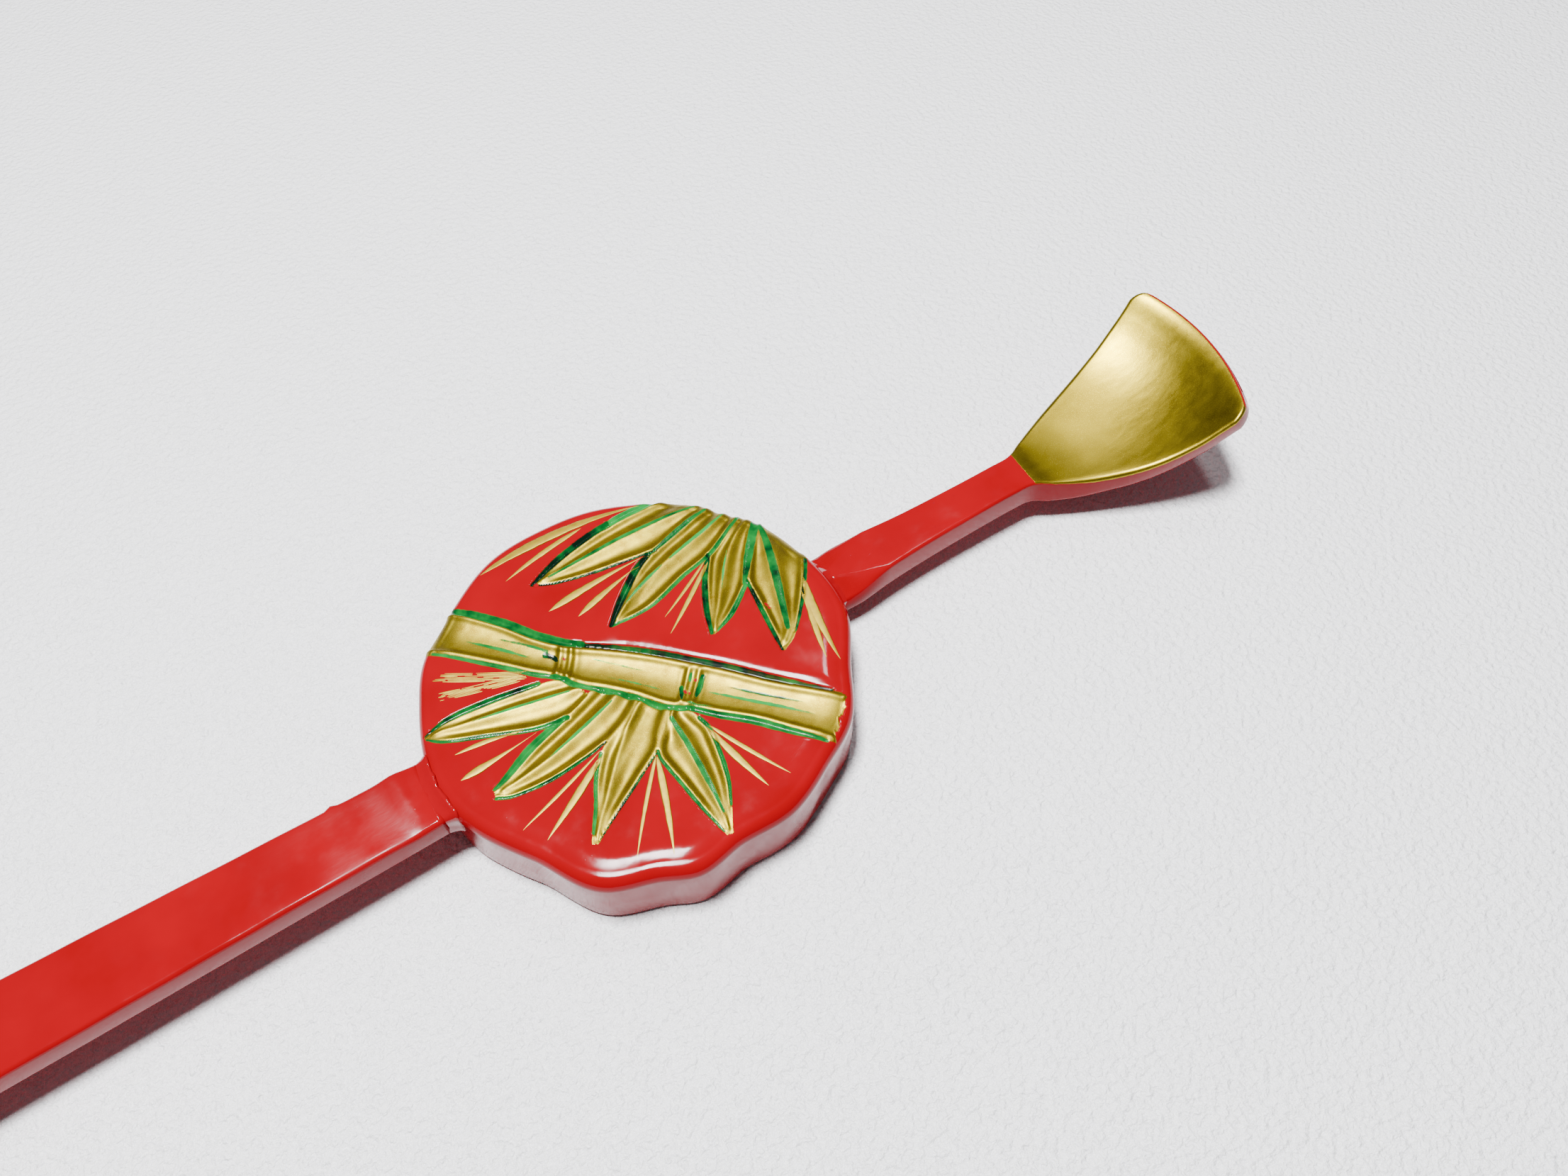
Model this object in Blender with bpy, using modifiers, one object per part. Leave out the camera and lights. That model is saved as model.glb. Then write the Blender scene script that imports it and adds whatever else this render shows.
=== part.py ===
"""Red lacquered hairpin with a carved bamboo medallion and a gilded scoop end.

The pin is built from three wooden pieces. A flat leg and a short neck each end in a flat
tenon, and both tenons are glued into mortises in the edge of a thick scalloped medallion.
A bead of hard filler closes each joint. The neck and the scoop are one carved piece.

Frame: the origin is the centre of the medallion's flat back, which rests on the table.
+X runs along the pin to the scoop, +Z points up out of the carved face. Units are metres.
"""

import math

import bmesh
import bpy
from mathutils import Matrix, Vector

MM = 0.001
PIN_NAME = "lacquer_hairpin"

# ---- driving dimensions -------------------------------------------------------------
MEDALLION_THICKNESS = 7.1 * MM
MEDALLION_FRONT_ROUND = 1.15 * MM
MEDALLION_BACK_ROUND = 0.45 * MM
RIM_STEP_DEGREES = 2.5

SHAFT_LENGTH = 90.4 * MM            # from the medallion's edge to the leg's tip
SHAFT_THICKNESS = 2.6 * MM
SHAFT_UNDERSIDE = 3.75 * MM         # height of the leg's underside over the table
SHAFT_SIDE_SHIFT = -0.93 * MM       # the leg's middle line leaves the medallion here
SHAFT_SKEW = math.radians(0.85)
SHAFT_EDGE_ROUND = 0.45 * MM

NECK_SIDE_SHIFT = 0.35 * MM
SCOOP_SIDE_SHIFT = -0.05 * MM
NECK_THICKNESS = 3.05 * MM
SCOOP_THICKNESS = 2.75 * MM
SCOOP_TIP_BOW = 2.2 * MM            # how far the middle of the end edge leads its corners
SCOOP_TIP_SKEW = 1.6 * MM           # how far the +Y corner leads, and the -Y one lags

SHOULDER_X = 19.72 * MM             # both bars stop here, against the medallion's edge
TENON_LENGTH = 6.0 * MM
TENON_THICKNESS = 1.5 * MM
SHAFT_TENON_WIDTH = 4.4 * MM
SHAFT_TENON_DROP = 0.35 * MM        # below the leg's middle, away from the carving
NECK_TENON_WIDTH = 3.4 * MM
TENON_ROOT = 1.5 * MM               # how far a tenon block reaches back into its bar
MORTISE_CLEARANCE = 0.12 * MM
MORTISE_END_GAP = 0.4 * MM

BEAD_SPREAD = 0.5 * MM              # how far a bead spreads over the medallion's edge
BEAD_RUN = 1.0 * MM                 # how far it runs out along the bar
BEAD_GAP = 0.06 * MM
BEAD_FACET = 0.8 * MM

# The medallion's edge: (direction in degrees, radius in mm) of each lobe's crest and of
# the shallow notch after it, anticlockwise from the scoop.
RIM_LOBES = (
    ((24, 19.37), (36, 18.90)),
    ((49, 19.10), (64, 18.73)),
    ((78, 18.82), (90, 18.77)),
    ((108, 19.02), (128, 18.62)),
    ((147, 19.14), (158, 18.99)),
    ((186, 19.42), (215, 18.47)),
    ((234, 19.66), (247, 19.05)),
    ((256, 19.35), (270, 18.33)),
    ((285, 18.85), (299, 18.66)),
    ((314, 19.13), (329, 18.67)),
    ((350, 19.62), (372, 19.30)),
)

# Bamboo leaves: (tip x, y), (base x, y), widest part, all in mm. Those with a base past
# the medallion's edge are cut off by it.
LEAVES = (
    ((-4.0, 12.7), (14.5, 14.2), 4.3),
    ((0.1, 5.0), (16.5, 11.5), 4.4),
    ((7.4, -0.6), (17.0, 11.5), 4.2),
    ((11.8, -5.2), (18.2, 7.0), 4.2),
    ((-18.2, 3.6), (-5.0, 1.0), 3.3),
    ((-15.3, -4.3), (-3.0, -1.4), 3.7),
    ((-10.4, -12.5), (-1.6, -4.4), 3.6),
    ((-1.0, -17.3), (0.6, -6.0), 3.6),
)
LEAF_CUT_DEPTH = 0.45               # mm

# Bamboo stem: the middle line of each length between two joints, in mm.
STEM_LENGTHS = (
    ((-13.4, 13.0), (-6.1, 4.5)),
    ((-4.9, 3.1), (2.0, -3.8)),
    ((3.5, -5.3), (12.6, -13.6)),
)
STEM_WIDTH = 4.2                    # mm
STEM_CUT_DEPTH = 0.5
STEM_EDGE_CUT_WIDTH = 0.8
STEM_EDGE_CUT_DEPTH = 0.55
STEM_JOINT_CUT_WIDTH = 0.5
STEM_JOINT_CUT_DEPTH = 0.35

# Leg: (distance from the medallion's edge, half the width), mm.
SHAFT_OUTLINE = (
    (0.0, 3.1),
    (14.0, 3.32),
    (31.0, 3.63),
    (48.0, 3.75),
    (66.0, 3.45),
    (80.0, 2.7),
    (87.5, 1.75),
)

# Neck and scoop: (x, half the greatest width, height of the upper face), mm.
NECK_AND_SCOOP = (
    (20.6, 2.85, 5.15),
    (22.4, 2.85, 5.2),
    (25.5, 2.5, 5.3),
    (30.0, 2.2, 5.4),
    (36.0, 2.05, 5.6),
    (40.5, 2.03, 5.75),
    (43.0, 2.15, 5.7),
    (45.0, 3.1, 5.42),
    (47.0, 4.05, 5.33),
    (49.0, 4.95, 5.4),
    (51.0, 5.75, 5.68),
    (53.0, 6.5, 6.12),
    (55.0, 7.2, 6.78),
    (57.0, 7.85, 7.7),
    (59.0, 8.5, 8.95),
    (60.6, 8.95, 10.2),
    (61.7, 9.3, 11.15),
)
# The scoop's end: how far each last ring lies past the one above, and how far it is
# drawn in, mm.
SCOOP_END_ROUND = ((0.6, 0.15), (1.0, 0.5), (1.15, 1.1))
CHAMFER_START_X = 20.6              # mm, carved facets thin out the neck's root ...
CHAMFER_END_X = 25.5                # mm, ... and end here
CHAMFER_ROOT_WIDTH = 2.1            # mm, their width and drop at the root
CHAMFER_ROOT_DROP = 0.8
SCOOP_START_X = 43.0                # mm
SCOOP_SECTION_RUN = 8.0             # mm, where the neck's section becomes the scoop's
SCOOP_BOW_RUN = 18.0                # mm, where the sections take on the end edge's bow
DISH_DEPTH = 0.3                    # mm, the scoop's hollow from side to side
FACE_EDGE_ROUND = 0.3               # mm, along the neck
UNDERSIDE_EDGE_ROUND = 0.4          # mm, along the neck
SCOOP_EDGE_ROUND = 1.1              # mm, both edges of the scoop


# ---- helpers ------------------------------------------------------------------------
def smooth_step(t):
    """Ease from 0 to 1 with a level start and end."""
    t = min(max(t, 0.0), 1.0)
    return t * t * (3.0 - 2.0 * t)


def rim_radius(angle):
    """Radius of the medallion's edge in a direction given in radians."""
    points = [point for lobe in RIM_LOBES for point in lobe]
    first = points[0]
    points.append((first[0] + 360, first[1]))
    degrees = math.degrees(angle) % 360
    if degrees < first[0]:
        degrees += 360
    for (low, low_radius), (high, high_radius) in zip(points, points[1:]):
        if low <= degrees <= high:
            ease = smooth_step((degrees - low) / (high - low))
            return (low_radius + (high_radius - low_radius) * ease) * MM
    return first[1] * MM


def rim_x(y, z, side):
    """X of the medallion's edge at a given y and height, on the +X or the -X side."""
    x = side * 19.0 * MM
    for _ in range(6):
        radius = rim_radius(math.atan2(y, x)) - front_inset(z)
        x = side * math.sqrt(radius * radius - y * y)
    return x


def front_inset(z):
    """How far the round of the medallion's front edge is drawn in at a given height."""
    rise = min(max(z - (MEDALLION_THICKNESS - MEDALLION_FRONT_ROUND), 0), MEDALLION_FRONT_ROUND)
    return MEDALLION_FRONT_ROUND - math.sqrt(MEDALLION_FRONT_ROUND ** 2 - rise ** 2)


def material(name, colour, roughness, metallic=0.0):
    """A plain Principled finish for one piece."""
    finish = bpy.data.materials.new(name)
    finish.use_nodes = True
    shader = finish.node_tree.nodes["Principled BSDF"]
    shader.inputs["Base Color"].default_value = (*colour, 1.0)
    shader.inputs["Roughness"].default_value = roughness
    shader.inputs["Metallic"].default_value = metallic
    return finish


def new_object(name, mesh, collection, finish=None):
    """Put a mesh in a collection as an object, shaded smooth across its soft edges."""
    piece = bpy.data.objects.new(name, mesh)
    collection.objects.link(piece)
    if finish:
        mesh.materials.append(finish)
        mesh.shade_smooth()
        mesh.set_sharp_from_angle(angle=math.radians(35))
    return piece


def as_cutter(cutter):
    """Hide a shape that is only there to cut or to join."""
    cutter.hide_render = True
    cutter.display_type = "WIRE"
    return cutter


def boolean(piece, other, operation):
    step = piece.modifiers.new(f"{operation.lower()} {other.name}", "BOOLEAN")
    step.operation = operation
    step.solver = "EXACT"
    step.object = other


def box_mesh(name, low, high):
    """A closed box between two corners."""
    low, high = Vector(low), Vector(high)
    shape = bmesh.new()
    bmesh.ops.create_cube(shape, size=1.0)
    bmesh.ops.scale(shape, vec=high - low, verts=shape.verts)
    bmesh.ops.translate(shape, vec=(low + high) / 2, verts=shape.verts)
    mesh = bpy.data.meshes.new(name)
    shape.to_mesh(mesh)
    shape.free()
    return mesh


def loft_mesh(name, rings, closed_loop=False):
    """Skin equal rings of points; the ends are capped unless the rings form a loop."""
    shape = bmesh.new()
    loops = [[shape.verts.new(point) for point in ring] for ring in rings]
    count = len(loops[0])
    pairs = list(zip(loops, loops[1:]))
    if closed_loop:
        pairs.append((loops[-1], loops[0]))
    for this, following in pairs:
        for i in range(count):
            j = (i + 1) % count
            shape.faces.new((this[i], this[j], following[j], following[i]))
    if not closed_loop:
        for loop in (loops[0], loops[-1]):
            ladder_cap(shape, loop)
    bmesh.ops.recalc_face_normals(shape, faces=shape.faces)
    if shape.calc_volume(signed=True) < 0:
        bmesh.ops.reverse_faces(shape, faces=shape.faces)
    mesh = bpy.data.meshes.new(name)
    shape.to_mesh(mesh)
    shape.free()
    return mesh


def ladder_cap(shape, loop):
    """Close a ring with strips that join its two sides, so a bowed end stays smooth."""
    count = len(loop)
    half = count // 2
    for i in range(half // 2):
        near, far = half - i, half - i - 1
        for corners in ((i, i + 1, far, near), (-i, -near, -far, -i - 1)):
            # The last strip of a ring with an even half narrows to a triangle.
            verts = dict.fromkeys(loop[corner % count] for corner in corners)
            shape.faces.new(verts)


# ---- medallion ----------------------------------------------------------------------
def gouge_cut(name, start, end, width, depth, cutters):
    """One boat-shaped cut of a round gouge into the medallion's face; plan sizes in mm."""
    start, end = Vector(start), Vector(end)
    middle = (start + end) / 2
    run = end - start
    shape = bmesh.new()
    bmesh.ops.create_uvsphere(shape, u_segments=14, v_segments=8, radius=1.0)
    # The sphere's centre is held above the face, so the cut's sides slope.
    lift = depth
    plan_share = math.sqrt(1.0 - (lift / (lift + depth)) ** 2)
    size = (run.length / 2 / plan_share, width / 2 / plan_share, lift + depth)
    bmesh.ops.scale(shape, vec=Vector(size) * MM, verts=shape.verts)
    bmesh.ops.rotate(shape, matrix=Matrix.Rotation(math.atan2(run.y, run.x), 3, "Z"),
                     verts=shape.verts)
    mesh = bpy.data.meshes.new(name)
    shape.to_mesh(mesh)
    shape.free()
    cutter = as_cutter(new_object(name, mesh, cutters))
    cutter.location = (middle.x * MM, middle.y * MM, MEDALLION_THICKNESS + lift * MM)
    return cutter


def leaf_cuts(number, tip, base, width, cutters):
    """Two gouge cuts side by side: the halves of a leaf, with the midrib left between."""
    tip, base = Vector(tip), Vector(base)
    along = (base - tip).normalized()
    across = Vector((-along.y, along.x))
    cuts = []
    for side, sign in (("left", 1), ("right", -1)):
        start = tip + along * 0.6 + across * sign * width * 0.06
        end = base + across * sign * width * 0.34
        name = f"gouge_leaf_{number}_{side}"
        cuts.append(gouge_cut(name, start, end, width * 0.46, LEAF_CUT_DEPTH, cutters))
    return cuts


def stem_cuts(number, start, end, cutters):
    """A hollow along one length of the stem and a narrow cut along each of its edges."""
    start, end = Vector(start), Vector(end)
    along = (end - start).normalized()
    across = Vector((-along.y, along.x))
    hollow = gouge_cut(f"gouge_stem_{number}", start, end, STEM_WIDTH * 0.62,
                       STEM_CUT_DEPTH, cutters)
    cuts = [hollow]
    for side, sign in (("upper", 1), ("lower", -1)):
        edge = across * sign * STEM_WIDTH * 0.53
        cuts.append(gouge_cut(f"v_cut_stem_{number}_{side}", start + edge, end + edge,
                              STEM_EDGE_CUT_WIDTH, STEM_EDGE_CUT_DEPTH, cutters))
    return cuts


def stem_joint_cut(number, before, after, cutters):
    """The narrow cut across the stem at a joint, between two lengths."""
    before, after = Vector(before), Vector(after)
    along = (after - before).normalized()
    across = Vector((-along.y, along.x)) * STEM_WIDTH * 0.36
    middle = (before + after) / 2
    return gouge_cut(f"v_cut_stem_joint_{number}", middle - across, middle + across,
                     STEM_JOINT_CUT_WIDTH, STEM_JOINT_CUT_DEPTH, cutters)


def rim_outline(inset):
    """The scalloped edge, drawn in by a distance, as (x, y) points anticlockwise."""
    outline = []
    for step in range(round(360 / RIM_STEP_DEGREES)):
        angle = math.radians(step * RIM_STEP_DEGREES)
        radius = rim_radius(angle) - inset
        outline.append((radius * math.cos(angle), radius * math.sin(angle)))
    return outline


def medallion_blank():
    """The scalloped disc before it is carved: a tight round at its back edge, and a
    broad one at the front.
    """
    rings = []
    for turn in (0, 45, 90):
        rise = MEDALLION_BACK_ROUND * (1 - math.cos(math.radians(turn)))
        inset = MEDALLION_BACK_ROUND * (1 - math.sin(math.radians(turn)))
        rings.append([(x, y, rise) for x, y in rim_outline(inset)])
    for turn in (0, 22.5, 45, 67.5, 90):
        drop = MEDALLION_FRONT_ROUND * (1 - math.sin(math.radians(turn)))
        inset = MEDALLION_FRONT_ROUND * (1 - math.cos(math.radians(turn)))
        height = MEDALLION_THICKNESS - drop
        rings.append([(x, y, height) for x, y in rim_outline(inset)])
    return loft_mesh("medallion", rings)


def medallion(collection, cutters, tenons):
    finish = material("medallion_lacquer", (0.68, 0.008, 0.008), 0.12)
    piece = new_object("medallion", medallion_blank(), collection, finish)
    for number, (tip, base, width) in enumerate(LEAVES, 1):
        for cut in leaf_cuts(number, tip, base, width, cutters):
            boolean(piece, cut, "DIFFERENCE")
    for number, (start, end) in enumerate(STEM_LENGTHS, 1):
        for cut in stem_cuts(number, start, end, cutters):
            boolean(piece, cut, "DIFFERENCE")
    joints = zip(STEM_LENGTHS, STEM_LENGTHS[1:])
    for number, ((_, before), (after, _)) in enumerate(joints, 1):
        boolean(piece, stem_joint_cut(number, before, after, cutters), "DIFFERENCE")
    for tenon in tenons:
        boolean(piece, mortise_cutter(tenon, cutters), "DIFFERENCE")
    return piece


# ---- tenons and mortises ------------------------------------------------------------
def tenon_block(name, width, cutters):
    """The flat tongue on a bar's end. It points along its own -X from the shoulder."""
    half = Vector((0.0, width / 2, TENON_THICKNESS / 2))
    mesh = box_mesh(name, (-TENON_LENGTH, -half.y, -half.z), (TENON_ROOT, half.y, half.z))
    return as_cutter(new_object(name, mesh, cutters))


def mortise_cutter(tenon, cutters):
    """The tenon's block grown by the glue gap, open past the medallion's edge."""
    corners = [Vector(corner) for corner in tenon.bound_box]
    low = Vector(map(min, zip(*corners)))
    high = Vector(map(max, zip(*corners)))
    grow = Vector((MORTISE_END_GAP, MORTISE_CLEARANCE, MORTISE_CLEARANCE))
    cutter = new_object(tenon.name.replace("tenon", "mortise"),
                        box_mesh("mortise", low - grow, high + grow), cutters)
    cutter.location = tenon.location
    cutter.rotation_euler = tenon.rotation_euler
    return as_cutter(cutter)


# ---- leg ----------------------------------------------------------------------------
def shaft(collection, cutters):
    """The flat leg: an outline drawn along its own +X, thick as the bar, then turned."""
    outline = bpy.data.curves.new("shaft", "CURVE")
    outline.dimensions = "2D"
    outline.fill_mode = "BOTH"
    outline.extrude = SHAFT_THICKNESS / 2
    outline.resolution_u = 6
    upper = [(x * MM, half * MM) for x, half in SHAFT_OUTLINE]
    tip = [(SHAFT_LENGTH, 0.0)]
    lower = [(x, -half) for x, half in reversed(upper)]
    points = upper + tip + lower
    spline = outline.splines.new("BEZIER")
    spline.bezier_points.add(len(points) - 1)
    spline.use_cyclic_u = True
    for knot, (x, y) in zip(spline.bezier_points, points):
        knot.co = (x, y, 0.0)
        knot.handle_left_type = "AUTO"
        knot.handle_right_type = "AUTO"
    for corner in (spline.bezier_points[0], spline.bezier_points[-1]):
        corner.handle_left_type = "VECTOR"
        corner.handle_right_type = "VECTOR"
    guide = bpy.data.objects.new("shaft_outline", outline)
    collection.objects.link(guide)
    evaluated = guide.evaluated_get(bpy.context.evaluated_depsgraph_get())
    mesh = bpy.data.meshes.new_from_object(evaluated)
    bpy.data.objects.remove(guide)
    shape = bmesh.new()
    shape.from_mesh(mesh)
    bmesh.ops.remove_doubles(shape, verts=shape.verts, dist=0.01 * MM)
    bmesh.ops.dissolve_limit(shape, angle_limit=math.radians(1),
                             verts=shape.verts, edges=shape.edges)
    bmesh.ops.recalc_face_normals(shape, faces=shape.faces)
    shape.to_mesh(mesh)
    shape.free()
    mesh.materials.clear()
    finish = material("shaft_lacquer", (0.66, 0.008, 0.008), 0.2)
    piece = new_object("shaft", mesh, collection, finish)
    middle_z = SHAFT_UNDERSIDE + SHAFT_THICKNESS / 2
    piece.location = (-SHOULDER_X, SHAFT_SIDE_SHIFT, middle_z)
    piece.rotation_euler.z = math.pi + SHAFT_SKEW
    rounding = piece.modifiers.new("rounded edges", "BEVEL")
    rounding.width = SHAFT_EDGE_ROUND
    rounding.segments = 2
    rounding.limit_method = "ANGLE"
    rounding.angle_limit = math.radians(50)
    tenon = tenon_block("shaft_tenon", SHAFT_TENON_WIDTH, cutters)
    tenon.location = piece.location - Vector((0.0, 0.0, SHAFT_TENON_DROP))
    tenon.rotation_euler = piece.rotation_euler
    boolean(piece, tenon, "UNION")
    return piece, tenon


def shaft_section():
    """The leg's rounded outline at the joint, as (y, z) points, anticlockwise."""
    half_width = SHAFT_OUTLINE[0][1] * MM
    half_depth = SHAFT_THICKNESS / 2
    middle = (SHAFT_SIDE_SHIFT, SHAFT_UNDERSIDE + half_depth)
    points = []
    corners = ((1, 1, 0), (-1, 1, 90), (-1, -1, 180), (1, -1, 270))
    for side_y, side_z, turn in corners:
        for step in range(4):
            angle = math.radians(turn + step * 30)
            y = side_y * (half_width - SHAFT_EDGE_ROUND) + SHAFT_EDGE_ROUND * math.cos(angle)
            z = side_z * (half_depth - SHAFT_EDGE_ROUND) + SHAFT_EDGE_ROUND * math.sin(angle)
            points.append((middle[0] + y, middle[1] + z))
    return points


# ---- neck and scoop -----------------------------------------------------------------
def corner_points(start, end, corner, straight=0.0):
    """Points round a corner: on an arc when straight is 0, on a plain cut when it is 1."""
    points = []
    for turn in (0, 30, 60, 90):
        along = math.sin(math.radians(turn))
        left = math.cos(math.radians(turn))
        cut = turn / 90
        point = []
        for first, last, apex in zip(start, end, corner):
            arc = apex + (first - apex) * (1 - along) + (last - apex) * (1 - left)
            line = first + (last - first) * cut
            point.append(arc + (line - arc) * straight)
        points.append(tuple(point))
    return points


def neck_section(x, half, inset=0.0):
    """One cross-section of the neck and scoop, in mm: y from side to side, and depth
    below the upper face. Anticlockwise, seen from the scoop's end.
    """
    scooped = smooth_step((x - SCOOP_START_X) / SCOOP_SECTION_RUN)
    thickness = (NECK_THICKNESS + (SCOOP_THICKNESS - NECK_THICKNESS) * scooped) / MM
    facet = 1.0 - min(max((x - CHAMFER_START_X) / (CHAMFER_END_X - CHAMFER_START_X), 0), 1)
    half -= inset
    bottom = thickness - inset
    rim = inset * 0.5 - DISH_DEPTH * scooped
    # Both edge rounds must fit in the section's height.
    most_round = (bottom - rim) * 0.48
    face_round = FACE_EDGE_ROUND + (SCOOP_EDGE_ROUND - FACE_EDGE_ROUND) * scooped
    face_round = min(face_round, most_round)
    under_round = UNDERSIDE_EDGE_ROUND + (SCOOP_EDGE_ROUND - UNDERSIDE_EDGE_ROUND) * scooped
    under_round = min(under_round, most_round)
    facet_width = face_round + CHAMFER_ROOT_WIDTH * facet
    facet_drop = face_round + CHAMFER_ROOT_DROP * facet
    under = corner_points((half - under_round, bottom), (half, bottom - under_round),
                          (half, bottom))
    upper = corner_points((half, rim + facet_drop), (half - facet_width, rim),
                          (half, rim), facet)
    face = inset * 0.5
    # The hollow is a parabola, so halfway out it has risen a quarter of the way.
    halfway = face + (rim - face) * 0.25
    right = [(0.0, bottom), ((half - under_round) * 0.5, bottom), *under, *upper,
             ((half - facet_width) * 0.5, halfway), (0.0, face)]
    left = [(-y, depth) for y, depth in right[-2:0:-1]]
    return right + left


def neck_ring(x, half, top, slope, inset=0.0):
    """A cross-section in place, square to the face's slope; the scoop's bow forward."""
    scooped = smooth_step((x - SCOOP_START_X) / SCOOP_BOW_RUN)
    bow, skew = SCOOP_TIP_BOW / MM * scooped, SCOOP_TIP_SKEW / MM * scooped
    shift = NECK_SIDE_SHIFT + (SCOOP_SIDE_SHIFT - NECK_SIDE_SHIFT) * scooped
    ring = []
    for y, depth in neck_section(x, half, inset):
        across = y / half
        lead = bow * (1 - across ** 2) + skew * across + depth * math.sin(slope)
        height = top - depth * math.cos(slope)
        ring.append(((x + lead) * MM, y * MM + shift, height * MM))
    return ring


def neck_rings():
    """Every cross-section from the shoulder to the rounded end of the scoop."""
    first_x, first_half, first_top = NECK_AND_SCOOP[0]
    rings = [neck_ring(SHOULDER_X / MM, first_half, first_top, 0.0)]
    slope = 0.0
    for index, (x, half, top) in enumerate(NECK_AND_SCOOP):
        if index:
            before_x, _, before = NECK_AND_SCOOP[index - 1]
            slope = max(math.atan2(top - before, x - before_x), 0.0)
        rings.append(neck_ring(x, half, top, slope))
    for forward, inset in SCOOP_END_ROUND:
        step_up = forward * math.tan(slope)
        rings.append(neck_ring(x + forward, half, top + step_up, slope, inset))
    return rings


def neck_scoop(collection, cutters):
    first_top = NECK_AND_SCOOP[0][2]
    finish = material("neck_scoop_lacquer", (0.66, 0.008, 0.008), 0.2)
    mesh = loft_mesh("neck_scoop", neck_rings())
    piece = new_object("neck_scoop", mesh, collection, finish)
    tenon = tenon_block("neck_tenon", NECK_TENON_WIDTH, cutters)
    tenon.location = (SHOULDER_X, NECK_SIDE_SHIFT, first_top * MM - NECK_THICKNESS / 2)
    boolean(piece, tenon, "UNION")
    return piece, tenon


# ---- filler beads -------------------------------------------------------------------
def divided(section, longest):
    """The same outline with points added, so that no side is longer than this."""
    points = []
    for start, end in zip(section, section[1:] + section[:1]):
        start, end = Vector(start), Vector(end)
        parts = math.ceil((end - start).length / longest)
        points.extend(start.lerp(end, part / parts) for part in range(parts))
    return points


def filler_bead(name, section, side, collection):
    """A hollow-faced fillet round a bar, with its broad side against the medallion."""
    profile = ((0.0, 0.0), (1.0, 0.0), (0.42, 0.3), (0.14, 0.68), (0.0, 1.0))
    section = divided(section, BEAD_FACET)
    count = len(section)
    middle = Vector(map(sum, zip(*section))) / count
    rings = []
    for index, point in enumerate(section):
        tangent = section[(index + 1) % count] - section[index - 1]
        normal = Vector((tangent.y, -tangent.x)).normalized()
        if normal.dot(point - middle) < 0:
            normal.negate()
        ring = []
        for spread, run in profile:
            y, z = point + normal * (BEAD_GAP + spread * BEAD_SPREAD)
            x = rim_x(y, z, side) + side * (BEAD_GAP + run * BEAD_RUN)
            ring.append((x, y, z))
        rings.append(ring)
    mesh = loft_mesh(name, rings, closed_loop=True)
    finish = material(f"{name}_lacquer", (0.6, 0.01, 0.012), 0.08)
    return new_object(name, mesh, collection, finish)


# ---- assembly -----------------------------------------------------------------------
def clear_scene():
    for item in list(bpy.data.objects):
        bpy.data.objects.remove(item, do_unlink=True)


def new_collection(name):
    collection = bpy.data.collections.new(name)
    bpy.context.scene.collection.children.link(collection)
    return collection


clear_scene()
pin = new_collection(PIN_NAME)
cutting_shapes = new_collection("cutting_shapes")
_, shaft_tenon = shaft(pin, cutting_shapes)
_, neck_tenon = neck_scoop(pin, cutting_shapes)
medallion(pin, cutting_shapes, (shaft_tenon, neck_tenon))
filler_bead("shaft_joint_filler", shaft_section(), -1, pin)
root_ring = neck_ring(*NECK_AND_SCOOP[0], slope=0.0)
filler_bead("neck_joint_filler", [(y, z) for _, y, z in root_ring], 1, pin)
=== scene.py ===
"""Red lacquered hairpin with a carved and gilded bamboo medallion, lying on a pale table.

The pin is made up in the order a maker would: the medallion is carved, lacquered and
painted, then the leg and the neck are let into its edge and the joints are filled.
Everything is in the CAD frame: metres, the medallion's back on the table at z = 0, +X to
the scoop. Sizes given in mm are turned to metres where a mesh is made.
"""

import math

import bpy
import numpy as np
from mathutils import Matrix, Vector


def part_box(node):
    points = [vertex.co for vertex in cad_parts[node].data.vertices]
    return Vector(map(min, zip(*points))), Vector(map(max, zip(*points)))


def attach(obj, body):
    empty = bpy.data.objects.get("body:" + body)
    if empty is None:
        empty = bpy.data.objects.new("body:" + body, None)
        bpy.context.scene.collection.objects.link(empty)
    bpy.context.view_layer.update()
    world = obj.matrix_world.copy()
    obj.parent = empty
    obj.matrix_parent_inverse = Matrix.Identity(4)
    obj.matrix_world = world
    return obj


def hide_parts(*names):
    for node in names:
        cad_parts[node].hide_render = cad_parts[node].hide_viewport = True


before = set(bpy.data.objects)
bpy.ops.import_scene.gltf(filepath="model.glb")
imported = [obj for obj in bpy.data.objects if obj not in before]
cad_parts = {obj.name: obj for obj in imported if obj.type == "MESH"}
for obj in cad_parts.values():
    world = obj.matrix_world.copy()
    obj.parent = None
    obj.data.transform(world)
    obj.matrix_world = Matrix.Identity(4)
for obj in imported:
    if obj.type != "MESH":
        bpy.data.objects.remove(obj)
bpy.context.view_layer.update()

# ---- medallion ----------------------------------------------------------------------
# A thick disc of hard wood with a hand-cut scalloped edge. A bamboo stalk and eight
# leaves are carved in its face with a gouge and a V tool; then it is lacquered vermilion,
# the relief is painted gold, and thin green lacquer is run into the cuts.
MM = 0.001
# Heights from the frame are rounded to a micron, as its meshes hold short numbers.
MEDALLION_THICKNESS = round(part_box("medallion")[1][2] / MM, 3)
FRONT_ROUND = 1.15
BACK_ROUND = 0.45
# The face falls away by this much within this distance of its rounded edge, in mm.
FACE_FALL = 0.22
FACE_FALL_WIDTH = 1.5
FACE_CELLS = 284
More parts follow.
